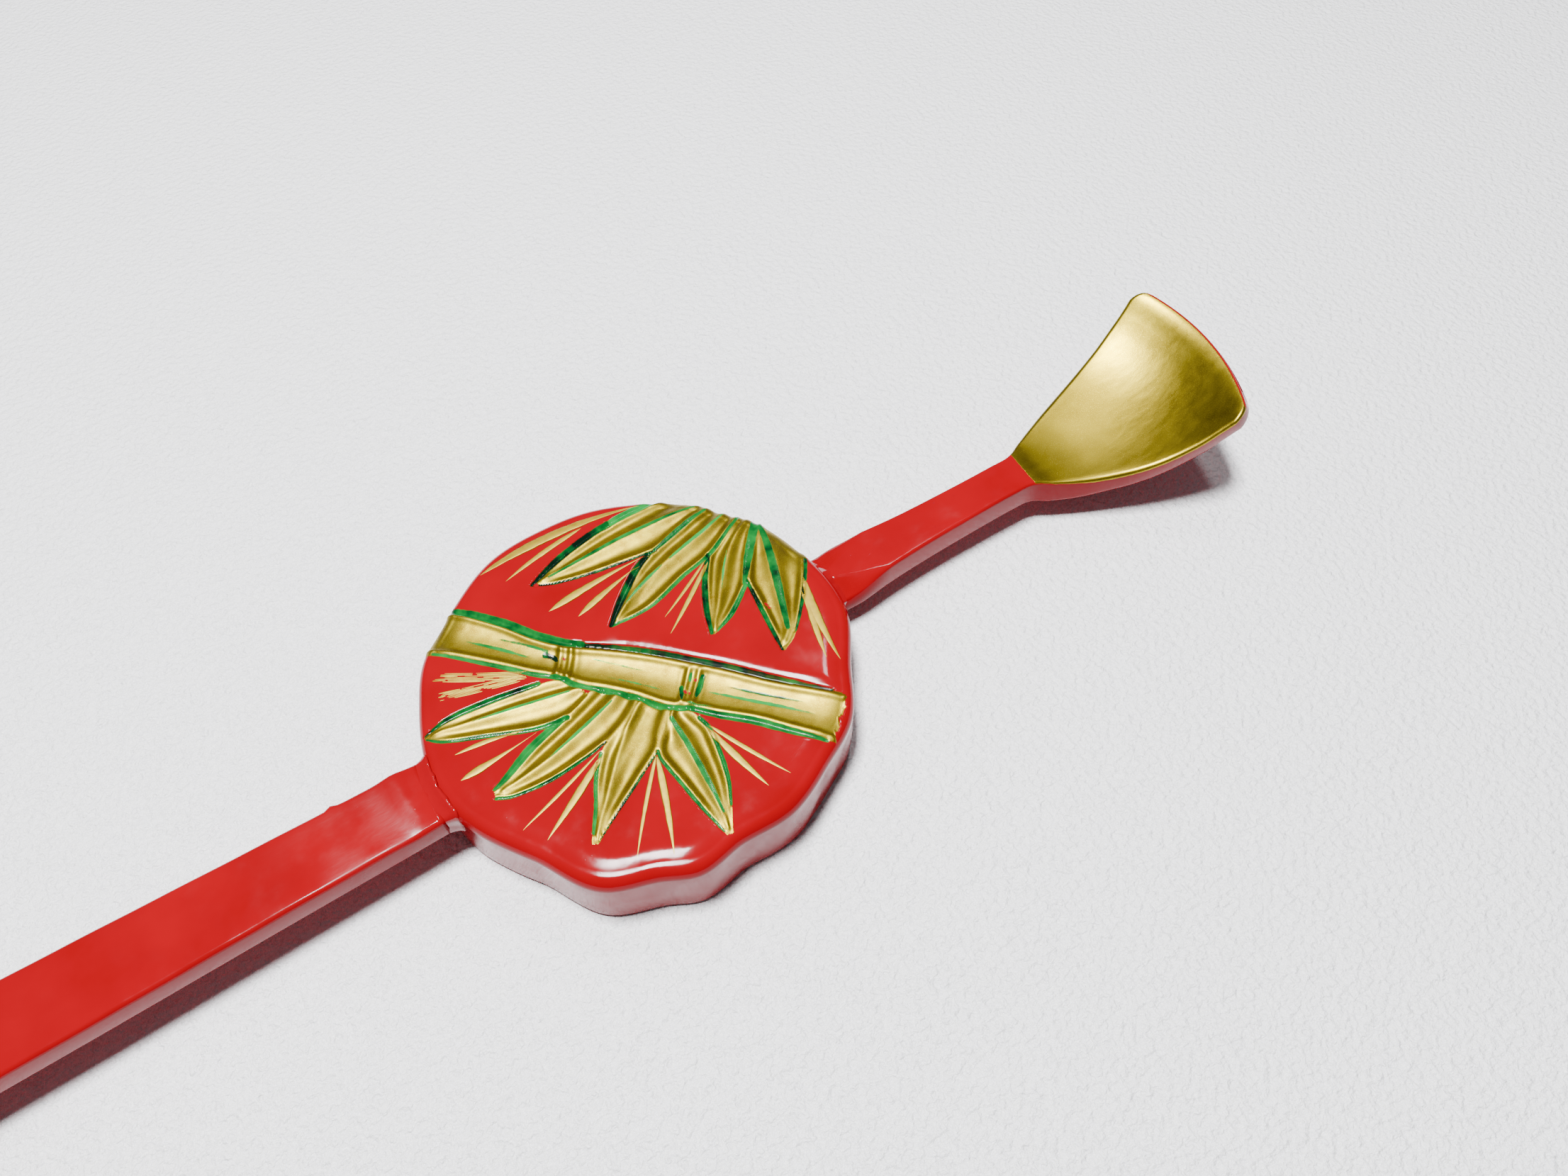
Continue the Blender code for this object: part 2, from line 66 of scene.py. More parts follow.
# (direction in degrees, radius in mm) of each lobe's crest and of the notch after it.
RIM_LOBES = (
    ((24, 19.37), (36, 18.90)),
    ((49, 19.10), (64, 18.73)),
    ((78, 18.82), (90, 18.77)),
    ((108, 19.02), (128, 18.62)),
    ((147, 19.14), (158, 18.99)),
    ((186, 19.42), (215, 18.47)),
    ((234, 19.66), (247, 19.05)),
    ((256, 19.35), (270, 18.33)),
    ((285, 18.85), (299, 18.66)),
    ((314, 19.13), (329, 18.67)),
    ((350, 19.62), (372, 19.30)),
)


def rim_radius(angle):
    """Radius of the scalloped edge, in mm, in directions given in radians."""
    knots = np.array([knot for lobe in RIM_LOBES for knot in lobe], float)
    knots = np.vstack([knots, knots[0] + (360, 0)])
    degrees = (np.degrees(angle) - knots[0, 0]) % 360 + knots[0, 0]
    index = np.searchsorted(knots[:, 0], degrees, side="right") - 1
    index = np.clip(index, 0, len(knots) - 2)
    low, high = knots[index], knots[index + 1]
    share = (degrees - low[..., 0]) / (high[..., 0] - low[..., 0])
    return low[..., 1] + (high[..., 1] - low[..., 1]) * share * share * (3 - 2 * share)


def curve_through(points, steps=8):
    """A smooth line through points, as an array of many short steps."""
    points = np.array(points, float)
    ends = (2 * points[:1] - points[1:2], points, 2 * points[-1:] - points[-2:-1])
    knots = np.vstack(ends)
    t = np.linspace(0, 1, steps, endpoint=False)[:, None]
    spans = []
    for a, b, c, d in zip(knots, knots[1:], knots[2:], knots[3:]):
        spans.append(0.5 * (2 * b + (c - a) * t + (2 * a - 5 * b + 4 * c - d) * t ** 2
                            + (3 * b - a - 3 * c + d) * t ** 3))
    return np.vstack([*spans, points[-1:]])


def reach(line, at):
    """How far points are from a line, and how far along it (0 to 1) the nearest part is."""
    starts, ends = line[:-1], line[1:]
    lengths = np.linalg.norm(ends - starts, axis=1)
    travelled = np.concatenate([[0], np.cumsum(lengths)])
    best = np.full(len(at), np.inf)
    along = np.zeros(len(at))
    for start, end, length, before in zip(starts, ends, lengths, travelled):
        step = end - start
        share = np.clip(((at - start) @ step) / max(length, 1e-9) ** 2, 0, 1)
        gap = np.linalg.norm(at - start - share[:, None] * step, axis=1)
        nearer = gap < best
        best[nearer] = gap[nearer]
        along[nearer] = before + share[nearer] * length
    return best, along / travelled[-1]


def within(outline, at):
    """Whether points are inside a closed outline."""
    inside = np.zeros(len(at), bool)
    for (x1, y1), (x2, y2) in zip(outline, np.roll(outline, -1, axis=0)):
        if y1 != y2:
            crosses = (y1 > at[:, 1]) != (y2 > at[:, 1])
            inside ^= crosses & (at[:, 0] < (x2 - x1) * (at[:, 1] - y1) / (y2 - y1) + x1)
    return inside


def ridge(distance, height, middle, width):
    """A soft ridge of this height where the distance is near its middle, in mm."""
    return height * np.exp(-((distance - middle) / width) ** 2)


# Leaves, in mm on the face: two edges from the tip to the base, and the midrib. A base
# that reaches the medallion's edge runs out over it.
LEAVES = (
    (((-3.9, 12.8), (-0.6, 13.95), (3, 14.85), (6.5, 15.3), (9.8, 15.5), (13, 16.2)),
     ((-3.9, 12.6), (-2, 11.85), (1, 11.15), (4, 10.7), (7.4, 10.3), (10.6, 11.35),
      (13.7, 12.2), (16.2, 13)),
     ((-3, 12.7), (1, 13), (5, 13.25), (9, 13.2), (13, 13.05), (16, 13.3))),
    (((0.1, 5.15), (2.5, 7.1), (5, 9.1), (7.4, 10.3), (10.6, 11.35), (13.7, 12.2), (16.2, 13)),
     ((0.1, 4.95), (3, 4.9), (5, 5.25), (8, 6.3), (11.2, 7.1), (14, 8.6), (16, 9.8), (18.2, 11)),
     ((0.8, 5.4), (4, 7.3), (8, 8.7), (11.5, 9.6), (15, 10.8), (17.2, 12))),
    (((7.3, -0.6), (8.2, 2), (9.6, 4.7), (11.2, 7.1), (14, 8.6), (16, 9.8), (18.2, 11)),
     ((7.4, -0.7), (9.8, 0.5), (12.6, 2.6), (14.6, 5.4), (16.8, 8), (18.6, 9)),
     ((7.6, -0.3), (9.2, 1.8), (11.5, 4.8), (14.3, 7.6), (18.4, 10))),
    (((11.65, -5.3), (12, -3), (12.5, 0.5), (12.75, 2.7), (14.6, 5.4), (16.8, 8), (18.6, 9)),
     ((11.75, -5.4), (13.3, -4.5), (15.3, -2.3), (17.5, 0.4), (18.6, 2), (19.8, 3.3)),
     ((12.2, -4.6), (13.4, -3.3), (14.3, -0.8), (15.5, 2.4), (16.6, 5.6), (17.4, 8.3))),
    (((-18.2, 3.65), (-15.5, 3.85), (-12, 3.55), (-8, 2.9), (-5.6, 2.2)),
     ((-18.2, 3.5), (-16.8, 2.3), (-13.5, 0.8), (-10, -0.7), (-7.3, -1.2), (-4.8, -0.3)),
     ((-17.6, 3.4), (-14.5, 2.8), (-11, 2.1), (-8, 1.4), (-5.2, 0.8))),
    (((-15.3, -4.2), (-14.3, -3.8), (-11, -2.3), (-7.5, -1.2), (-4.3, 0)),
     ((-15.3, -4.6), (-14, -5.3), (-11, -5.6), (-7.5, -5.3), (-5, -4.9), (-2.9, -3.9), (-1.2, -2.6)),
     ((-14.6, -4.5), (-10.5, -3.9), (-7, -2.9), (-4, -2), (-2.6, -1.4))),
    (((-10.5, -12.4), (-9, -9.8), (-7.6, -7.3), (-6.4, -5.8), (-5, -4.9), (-2.9, -3.9), (-1.2, -2.6)),
     ((-10.2, -12.6), (-8, -11.2), (-5, -9.5), (-2.3, -8), (-1.2, -6.6), (0.4, -4.9)),
     ((-9.9, -12), (-6.5, -8), (-4.5, -5.8), (-2, -3.5), (-0.9, -3.2))),
    (((-1.1, -17.3), (-1.6, -14.5), (-2, -11.5), (-2.4, -9), (-2.1, -7.7), (-0.7, -6.3), (0.4, -4.9)),
     ((-0.7, -17.4), (0.2, -15.7), (1.3, -13.3), (1.9, -10.8), (2.3, -8.5), (2, -7), (1.6, -5.7)),
     ((-0.8, -17), (-0.1, -12.5), (0.1, -9), (0.1, -6.2), (0.8, -5.2))),
)
# The stalk's two edges, and its ragged painted end near the medallion's edge.
STALK_UPPER = ((-12.4, 15.7), (-11.1, 13.9), (-8.2, 10.4), (-6.3, 7.6), (-4.5, 5.5), (-3.3, 4.5),
               (-0.6, 2.4), (2, 0.1), (4, -1.9), (6.4, -4.3), (9, -7.2), (11.5, -9.6), (13.6, -11.6))
STALK_LOWER = ((-17, 13.1), (-14.9, 11.1), (-12.5, 8.9), (-10, 6.4), (-8, 4.3), (-6.2, 2.7),
               (-5, 1.1), (-3.3, -0.5), (-1.5, -2.4), (0.2, -4.6), (1.9, -5.9), (3.5, -7.6),
               (6, -9.9), (8, -12.2), (10.3, -14.8))
STALK_END = ((13.8, -12), (13.1, -12.9), (12.6, -13.3), (12.1, -13.4), (11.7, -14.2), (11.1, -14.4),
             (10.7, -15.1))
# The rings between the stalk's lengths: each is two beads across the stalk.
STALK_RINGS = (((-4.35, 5.0), (-6.15, 2.35)), ((4.1, -2.85), (1.5, -5.75)))

# Cuts run with green lacquer: points, half the width at each end and in the middle (mm),
# tone (0 is near black, painted shade in the deep cuts; 1 is the bright lacquer), depth of the cut.
CUTS = (
    # the stalk's edges
    (((-11.6, 14.4), (-10.9, 13.75), (-8, 10.4), (-6.1, 7.7), (-4.3, 5.65), (-3.1, 4.65)),
     (0.22, 0.3, 0.24), 0.3, 0.5),
    (((-3.6, 4.95), (-0.4, 2.6), (2.2, 0.3), (4.2, -1.7), (6.6, -4.1), (9.2, -6.95),
      (11.6, -9.4), (13.1, -10.9)), (0.14, 0.24, 0.08), 0.12, 0.55),
    (((-14.6, 10.95), (-10, 6.3), (-8, 4.2), (-6.2, 2.6), (-5.1, 1), (-3.4, -0.6), (-1.6, -2.5),
      (0.1, -4.7), (1.9, -6)), (0.08, 0.16, 0.16), 0.5, 0.3),
    (((1.9, -6), (3.5, -7.75), (5.9, -10), (7.9, -12.3), (10.1, -14.7)), (0.16, 0.24, 0.1), 0.42, 0.35),
    # upper leaves, from the left
    (((-4.1, 12.75), (-0.8, 14.1), (3, 15.05), (5, 15.3)), (0.1, 0.24, 0.26), 0.08, 0.55),
    (((4.4, 15.2), (6.8, 15.5), (9.9, 15.75), (12, 16.2)), (0.2, 0.3, 0.2), 0.75, 0.5),
    (((-3.9, 12.6), (-2, 11.75), (1, 11.05), (4, 10.6), (7.4, 10.2)), (0.08, 0.1, 0.08), 0.1, 0.4),
    (((6.9, 10.15), (10.6, 11.3), (13.7, 12.15)), (0.1, 0.17, 0.1), 0.4, 0.3),
    (((-2.4, 12.75), (1, 13), (5, 13.25), (9, 13.2), (13, 13.05)), (0.05, 0.13, 0.09), 0.45, 0.12),
    (((0, 5), (2.4, 7.25), (4.8, 9.2), (6.6, 10.15)), (0.12, 0.25, 0.16), 0.03, 0.6),
    (((0.1, 4.9), (3, 4.8), (5, 5.15), (8, 6.2), (11.2, 7.05), (14, 8.55), (16, 9.75)),
     (0.09, 0.13, 0.1), 0.5, 0.35),
    (((2.2, 6.4), (4.5, 7.5), (7, 8.4)), (0.04, 0.1, 0.05), 0.8, 0.08),
    (((8, 8.7), (10.5, 9.4), (12.5, 9.9), (15, 10.8)), (0.06, 0.12, 0.04), 0.9, 0.08),
    (((11.2, 7.15), (9.5, 4.75), (8.1, 2), (7.2, -0.5)), (0.14, 0.2, 0.12), 0.15, 0.5),
    (((7.8, -0.55), (9.9, 0.45), (12.6, 2.5)), (0.06, 0.18, 0.12), 0.45, 0.4),
    (((12.4, 2.6), (14.5, 5.3), (16.7, 7.9), (17.5, 8.7)), (0.12, 0.28, 0.3), 0.4, 0.4),
    (((10.4, 3.2), (11.7, 5.1), (12.9, 6.6)), (0.03, 0.06, 0.03), 1, 0.03),
    (((12.75, 2.8), (12.4, 0.4), (11.9, -3), (11.6, -5.3)), (0.1, 0.16, 0.08), 0.08, 0.5),
    (((13.2, -3.6), (14.3, -0.8), (15.5, 2.4), (16.6, 5.6), (17.3, 8.2)), (0.14, 0.26, 0.16), 0.35, 0.15),
    (((18.7, 2.1), (17.5, 0.3), (15.4, -2.35), (13.6, -4.3)), (0.12, 0.12, 0.06), 0.1, 0.4),
    # lower leaves, from the left
    (((-18.2, 3.75), (-15.5, 4), (-12, 3.7), (-8, 3.05)), (0.06, 0.2, 0.14), 0.25, 0.5),
    (((-18.2, 3.4), (-16.9, 2.2), (-13.5, 0.7), (-10, -0.8), (-7.3, -1.2)), (0.06, 0.15, 0.16), 0.3, 0.4),
    (((-14.3, 2.75), (-11, 2.1), (-8, 1.45), (-6, 1)), (0.03, 0.09, 0.06), 0.85, 0.06),
    (((-15.2, -4), (-14.2, -3.65), (-11, -2.15), (-7.5, -1.1)), (0.1, 0.24, 0.16), 0.55, 0.4),
    (((-15.4, -4.8), (-14, -5.4), (-11, -5.7), (-7.5, -5.4), (-5.6, -5)), (0.1, 0.12, 0.06), 0.2, 0.4),
    (((-10.2, -3.8), (-7, -2.9), (-3.4, -1.8)), (0.03, 0.1, 0.05), 0.85, 0.06),
    (((-10.1, -11.7), (-9, -9.9), (-7.7, -7.4), (-6.4, -5.7)), (0.08, 0.11, 0.08), 0.6, 0.35),
    (((-10, -12.5), (-8, -11.3), (-5, -9.6), (-2.4, -8.1)), (0.05, 0.08, 0.05), 0.1, 0.35),
    (((-1.2, -17), (-1.7, -14.5), (-2.1, -11.5), (-2.45, -9), (-2.3, -8)), (0.07, 0.11, 0.08), 0.4, 0.4),
    (((-0.4, -15.6), (-0.1, -12.5), (0.1, -9), (0.1, -6)), (0.06, 0.17, 0.14), 0.5, 0.12),
    (((0.4, -15.4), (1.35, -13.3), (2, -10.8), (2.35, -8.5), (2.1, -7.2)), (0.08, 0.13, 0.12), 0.35, 0.4),
    # streaks along the stalk
    (((-11.5, 10.5), (-9.6, 8.5), (-7.6, 6.2)), (0.03, 0.11, 0.05), 0.65, 0.05),
    (((-9.2, 9.4), (-7.3, 7.4), (-5.9, 5.7)), (0.02, 0.07, 0.09), 0.55, 0.04),
    (((-8.4, 7), (-7.4, 5.9)), (0.03, 0.05, 0.03), 0.9, 0.03),
    (((-6.2, 5.5), (-5.7, 4.9), (-5.6, 4.3)), (0.2, 0.16, 0.06), 0.12, 0.1),
    (((-2.8, 2.8), (-1.2, 1.1), (0.6, -0.8)), (0.03, 0.05, 0.02), 0.8, 0.03),
    (((-2.6, 0.6), (-0.8, -1.3), (1, -3.3)), (0.02, 0.05, 0.02), 0.8, 0.03),
    (((2.3, -3.7), (2, -4.3), (1.7, -4.9)), (0.12, 0.14, 0.06), 0.15, 0.1),
    (((3.7, -3), (3.2, -3.6)), (0.06, 0.1, 0.06), 0.6, 0.05),
    (((4.4, -3.8), (3.7, -4.5), (2.9, -5.2)), (0.14, 0.16, 0.08), 0.3, 0.12),
    (((4.1, -5.4), (6.5, -7.8), (8.8, -10.1), (10.6, -12)), (0.05, 0.11, 0.02), 0.8, 0.06),
    (((5.6, -5.7), (8, -8.2), (10.6, -10.7)), (0.03, 0.09, 0.03), 0.25, 0.06),
    (((2, -5.4), (2.6, -6.1), (3.6, -6.9)), (0.05, 0.07, 0.02), 0.5, 0.05),
)
# Every cut is made this much wider and this much shallower than it is listed.
INK_SPREAD = 1.5
CUT_DEPTH_SHARE = 0.55
# Where the gold has chipped off and the red shows: x, y, half the size (mm).
CHIPS = ((-3.75, 12.6, 0.24), (-5.0, 4.25, 0.15), (2.35, -4.35, 0.17), (2.6, -4.6, 0.13),
         (3.65, -3.8, 0.15), (12.95, -0.35, 0.2), (13.0, -0.75, 0.16))
CHIP_STRETCH = (1, 0.8)
CHIP_DEPTH = 0.08

# The gouge work, in mm. A ridge is its height, its distance from the edge, and its width.
LEAF_HOLLOW = 0.34
LEAF_HALF_AT_FULL_HOLLOW = 1.7
LEAF_LIP = (0.08, 0.35, 0.25)
STALK_HOLLOW = 0.3
STALK_UPPER_BEAD = (0.16, 0.42, 0.26)
STALK_LOWER_BEAD = (0.14, 0.4, 0.24)
RING_BEADS = (0.18, 0.46, 0.26)
RING_GROOVES = (-0.07, 1.0, 0.3)
RING_OVERHANG = 0.2
RING_LENGTH = 3.6
# Along this share of the stalk the face is eased down to the upper cut, from this far off.
EASED_FROM, EASED_TO = 0.36, 1.02
EASED_WIDTH = 1.15
EASED_SLOPE = 0.34
EASED_ROUND = 0.4
FAR_OUTSIDE = -9.0

# The face is a grid bent to the scalloped edge, so its cells stay about 0.13 mm.
grid_line = np.linspace(-1, 1, FACE_CELLS + 1)
a, b = np.meshgrid(grid_line, grid_line, indexing="ij")
wide = np.abs(a) > np.abs(b)
with np.errstate(divide="ignore", invalid="ignore"):
    turn = np.where(wide, math.pi / 4 * b / a, math.pi / 2 - math.pi / 4 * a / b)
turn = np.where(wide & (a < 0) | ~wide & (b < 0), turn + math.pi, turn)
turn = np.where((a == 0) & (b == 0), 0.0, turn).ravel()
out = np.maximum(np.abs(a), np.abs(b)).ravel()
edge = rim_radius(turn)
flat_share = (edge - FRONT_ROUND) / (edge - FRONT_ROUND + FRONT_ROUND * math.pi / 2)
tilt = np.clip((out - flat_share) / (1 - flat_share), 0, 1) * math.pi / 2
radius = np.where(out < flat_share, out / flat_share * (edge - FRONT_ROUND),
                  edge - FRONT_ROUND + FRONT_ROUND * np.sin(tilt))
face = np.column_stack([radius * np.cos(turn), radius * np.sin(turn)])
height = MEDALLION_THICKNESS - FRONT_ROUND * (1 - np.cos(tilt))
# The face turns down gently before the tighter round of its edge.
height -= FACE_FALL * np.clip(1 - (edge - FRONT_ROUND - radius) / FACE_FALL_WIDTH, 0, 1) ** 2

relief = np.zeros(len(face))
gilt = np.full(len(face), FAR_OUTSIDE)
stalk_edges = [curve_through(points) for points in (STALK_UPPER, STALK_LOWER)]
stalk_outline = np.vstack([stalk_edges[0], STALK_END, stalk_edges[1][::-1]])
(upper_gap, stalk_along), (lower_gap, _) = (reach(edge_line, face) for edge_line in stalk_edges)
stalk_inside = within(stalk_outline, face)

for first, second, midrib in LEAVES:
    first, second, midrib = (curve_through(points) for points in (first, second, midrib))
    outline = np.vstack([first, second[::-1]])
    near = np.all((face > outline.min(0) - 1) & (face < outline.max(0) + 1), axis=1)
    near &= ~stalk_inside
    at = face[near]
    inside = within(outline, at)
    edge_gap = np.minimum(reach(first, at)[0], reach(second, at)[0])
    rib_gap = reach(midrib, at)[0]
    half = edge_gap + rib_gap
    share = edge_gap / np.maximum(half, 1e-6)
    hollow = -LEAF_HOLLOW * np.clip(half / LEAF_HALF_AT_FULL_HOLLOW, 0, 1.1)
    hollow *= np.sin(math.pi * share ** 0.85) ** 1.5
    hollow += ridge(edge_gap, *LEAF_LIP)
    relief[near] = np.where(inside, hollow, relief[near])
    signed = np.where(inside, edge_gap, -edge_gap)
    gilt[near] = np.maximum(gilt[near], signed)

# The stalk is hollowed between two raised edge beads, and has two more at each ring.
across = upper_gap / (upper_gap + lower_gap)
stalk = -STALK_HOLLOW * np.sin(math.pi * across) ** 1.3
stalk += ridge(upper_gap, *STALK_UPPER_BEAD) + ridge(lower_gap, *STALK_LOWER_BEAD)
for start, end in STALK_RINGS:
    start, end = np.array(start), np.array(end)
    along = (end - start) / np.linalg.norm(end - start)
    beside = np.abs((face - start) @ np.array((along[1], -along[0])))
    spread = (face - start) @ along
    on_ring = np.clip((spread + RING_OVERHANG) * 3, 0, 1)
    on_ring *= np.clip((RING_LENGTH - spread) * 3, 0, 1)
    stalk += (ridge(beside, *RING_BEADS) + ridge(beside, *RING_GROOVES)) * on_ring
relief = np.where(stalk_inside, stalk, relief)
stalk_gap = np.minimum(upper_gap, lower_gap)
gilt = np.maximum(gilt, np.where(stalk_inside, stalk_gap, -stalk_gap))

# The face is eased down to the stalk's upper cut, and the lacquer lies thick there.
above = ~stalk_inside & (lower_gap > upper_gap)
eased = np.clip((stalk_along - EASED_FROM) * 8, 0, 1) * np.clip((EASED_TO - stalk_along) * 9, 0, 1)
down = EASED_WIDTH - upper_gap
slope = EASED_SLOPE * eased * (down + np.sqrt(down ** 2 + EASED_ROUND ** 2)) / 2
relief -= np.where(above, slope, 0)

# The cuts' mask and tone carry the green lacquer and the painted shade that darkens the deep cuts.
ink = np.full(len(face), FAR_OUTSIDE)
tone = np.zeros(len(face))
for points, (start_half, mid_half, end_half), shade, depth in CUTS:
    line = curve_through(points)
    near = np.all((face > line.min(0) - 1) & (face < line.max(0) + 1), axis=1)
    gap, along = reach(line, face[near])
    middle = 4 * along * (1 - along)
    half = np.where(along < 0.5, start_half, end_half) * (1 - middle) + mid_half * middle
    half = half * INK_SPREAD
    relief[near] -= CUT_DEPTH_SHARE * depth * np.clip(1 - gap / half, 0, 1)
    mark = half - gap
    wins = mark > ink[near]
    tone[near] = np.where(wins, shade, tone[near])
    ink[near] = np.maximum(ink[near], mark)
chips = np.full(len(face), FAR_OUTSIDE)
for x, y, size in CHIPS:
    chips = np.maximum(chips, size - np.linalg.norm((face - (x, y)) * CHIP_STRETCH, axis=1))
relief -= CHIP_DEPTH * np.clip(chips * 8, 0, 1)

# The relief fades down the rounded edge; the rounding leans it outwards.
fade = np.cos(tilt) ** 0.7
lean = np.sin(tilt) * relief * fade
x = face[:, 0] + np.cos(turn) * lean
y = face[:, 1] + np.sin(turn) * lean
z = height + relief * fade * np.maximum(np.cos(tilt), 0.2)

count = FACE_CELLS + 1
index = np.arange(count * count).reshape(count, count)
quads = np.stack([index[:-1, :-1], index[1:, :-1], index[1:, 1:], index[:-1, 1:]], -1)
border = np.concatenate([index[:-1, 0], index[-1, :-1], index[:0:-1, -1], index[0, :0:-1]])
points = [np.column_stack([x, y, z])]
faces = [list(map(int, quad)) for quad in quads.reshape(-1, 4)]

# Down the wall and round its lower edge: each ring's height and how far it is drawn in.
WALL_RINGS = [(MEDALLION_THICKNESS - FRONT_ROUND - 1.6, 0.05), (3.2, 0), (1.6, 0), (BACK_ROUND, 0)]
for step in (22.5, 45, 67.5, 90):
    WALL_RINGS.append((BACK_ROUND * (1 - math.sin(math.radians(step))),
                       BACK_ROUND * (1 - math.cos(math.radians(step)))))
KNIFE_WAVE = 0.05
rim_turn, rim_edge = turn[border], edge[border]
previous = border
total = count * count
for level, inset in WALL_RINGS:
    # The hand-cut wall is faceted a little, where the knife was turned.
    wave = KNIFE_WAVE * np.sin(rim_turn * 23 + level) * np.sin(rim_turn * 9 - level * 2)
    ring_radius = rim_edge - inset + wave * min(level, 1)
    ring = np.column_stack([ring_radius * np.cos(rim_turn), ring_radius * np.sin(rim_turn),
                            np.full(len(rim_turn), level)])
    points.append(ring)
    following = np.arange(total, total + len(border))
    total += len(border)
    for i in range(len(border)):
        j = (i + 1) % len(border)
        faces.append([int(previous[j]), int(previous[i]), int(following[i]), int(following[j])])
    previous = following
faces.append([int(i) for i in previous[::-1]])
points = np.vstack(points) * MM


def mesh_object(name, points, faces, material=None):
    """A smooth-shaded mesh object at the origin."""
    mesh = bpy.data.meshes.new(name)
    mesh.from_pydata([tuple(map(float, point)) for point in points], [], faces)
    mesh.validate()
    mesh.shade_smooth()
    if material:
        mesh.materials.append(material)
    piece = bpy.data.objects.new(name, mesh)
    bpy.context.scene.collection.objects.link(piece)
    return piece


def store(piece, name, values):
    """Keep one number for each point of a mesh, for its material."""
    layer = piece.data.attributes.new(name, "FLOAT", "POINT")
    layer.data.foreach_set("value", np.asarray(values, np.float32))


carved = mesh_object("carved_medallion", points, faces)
spare = len(points) - len(face)
for name, values, on_wall in (("gilt", gilt, FAR_OUTSIDE), ("ink", ink, FAR_OUTSIDE),
                              ("tone", tone, 0), ("chips", chips, FAR_OUTSIDE)):
    store(carved, name, np.concatenate([values, np.full(spare, on_wall)]))


def set_inputs(tree, node, inputs):
    """Give a node's inputs their values, or link them from sockets."""
    for key, value in inputs.items():
        if isinstance(value, bpy.types.NodeSocket):
            tree.links.new(value, node.inputs[key])
        else:
            node.inputs[key].default_value = value


def add(tree, kind, inputs=None, **settings):
    """Add a node. Its settings come first, as they decide which inputs it has."""
    node = tree.nodes.new(kind)
    for key, value in settings.items():
        setattr(node, key, value)
    set_inputs(tree, node, inputs or {})
    return node


def math_node(tree, operation, first, second=0.0, third=0.0, clamp=False):
    inputs = {0: first, 1: second, 2: third}
    return add(tree, "ShaderNodeMath", inputs, operation=operation, use_clamp=clamp).outputs[0]


def mix_colour(tree, share, first, second):
    inputs = {"Factor": share, 6: first, 7: second}
    return add(tree, "ShaderNodeMix", inputs, data_type="RGBA").outputs[2]


def mix_value(tree, share, first, second):
    return add(tree, "ShaderNodeMix", {"Factor": share, 2: first, 3: second}).outputs[0]


def noise(tree, place, scale, detail=3.0, stretch=None):
    """Noise with this many features to the metre, over an object's own coordinates."""
    if stretch:
        place = add(tree, "ShaderNodeMapping", {"Vector": place, "Scale": stretch}).outputs[0]
    inputs = {"Vector": place, "Scale": scale, "Detail": detail}
    return add(tree, "ShaderNodeTexNoise", inputs).outputs["Fac"]


def ramp(tree, value, low, high):
    """0 at low and 1 at high, straight between and level beyond."""
    inputs = {"Value": value, "From Min": low, "From Max": high}
    return add(tree, "ShaderNodeMapRange", inputs, clamp=True).outputs[0]


def bump_normal(tree, height, strength, depth):
    """The normal of a surface with these fine heights, their depth in mm."""
    inputs = {"Height": height, "Strength": strength, "Distance": depth * MM}
    return add(tree, "ShaderNodeBump", inputs).outputs["Normal"]


def new_material(name):
    """A material with its node tree, its shader, and the object's own coordinates."""
    material = bpy.data.materials.new(name)
    material.use_nodes = True
    tree = material.node_tree
    place = add(tree, "ShaderNodeTexCoord").outputs["Object"]
    return material, tree, tree.nodes["Principled BSDF"], place


VERMILION = (0.24, 0.0, 0.004, 1)
VERMILION_DEEP = (0.2, 0.0, 0.003, 1)
RELIEF_GOLD = (0.34, 0.255, 0.017, 1)
RELIEF_GOLD_DULL = (0.21, 0.14, 0.007, 1)
RELIEF_GOLD_GLINT = (0.48, 0.38, 0.04, 1)
# The near-black green is painted shade in the deep cuts; the brighter green is the lacquer itself.
GREEN_CUT_SHADE = (0.001, 0.009, 0.004, 1)
GREEN_THIN = (0.006, 0.24, 0.035, 1)


def lacquer_colour(tree, place):
    """The colour of hand-brushed vermilion lacquer, faintly clouded."""
    clouds = noise(tree, place, 160, 4)
    return mix_colour(tree, ramp(tree, clouds, 0.35, 0.75), VERMILION, VERMILION_DEEP)


def lacquer_surface(tree, place):
    """The lacquer's roughness and height: an even gloss with rubbed patches, slow ripples
    and a few specks of dust.
    """
    rubbed = ramp(tree, noise(tree, place, 420, 5), 0.5, 0.75)
    roughness = mix_value(tree, rubbed, 0.1, 0.22)
    ripples = noise(tree, place, 700, 2)
    dust = ramp(tree, noise(tree, place, 2600, 2), 0.72, 0.8)
    return roughness, math_node(tree, "MULTIPLY_ADD", dust, 0.25, ripples)


def gold_colour(tree, cloudy, powder, clean, dull, glint):
    """The colour of gold powder paint: clean and dull patches, and brighter grains."""
    gold = mix_colour(tree, ramp(tree, cloudy, 0.35, 0.7), clean, dull)
    return mix_colour(tree, ramp(tree, powder, 0.55, 0.7), gold, glint)


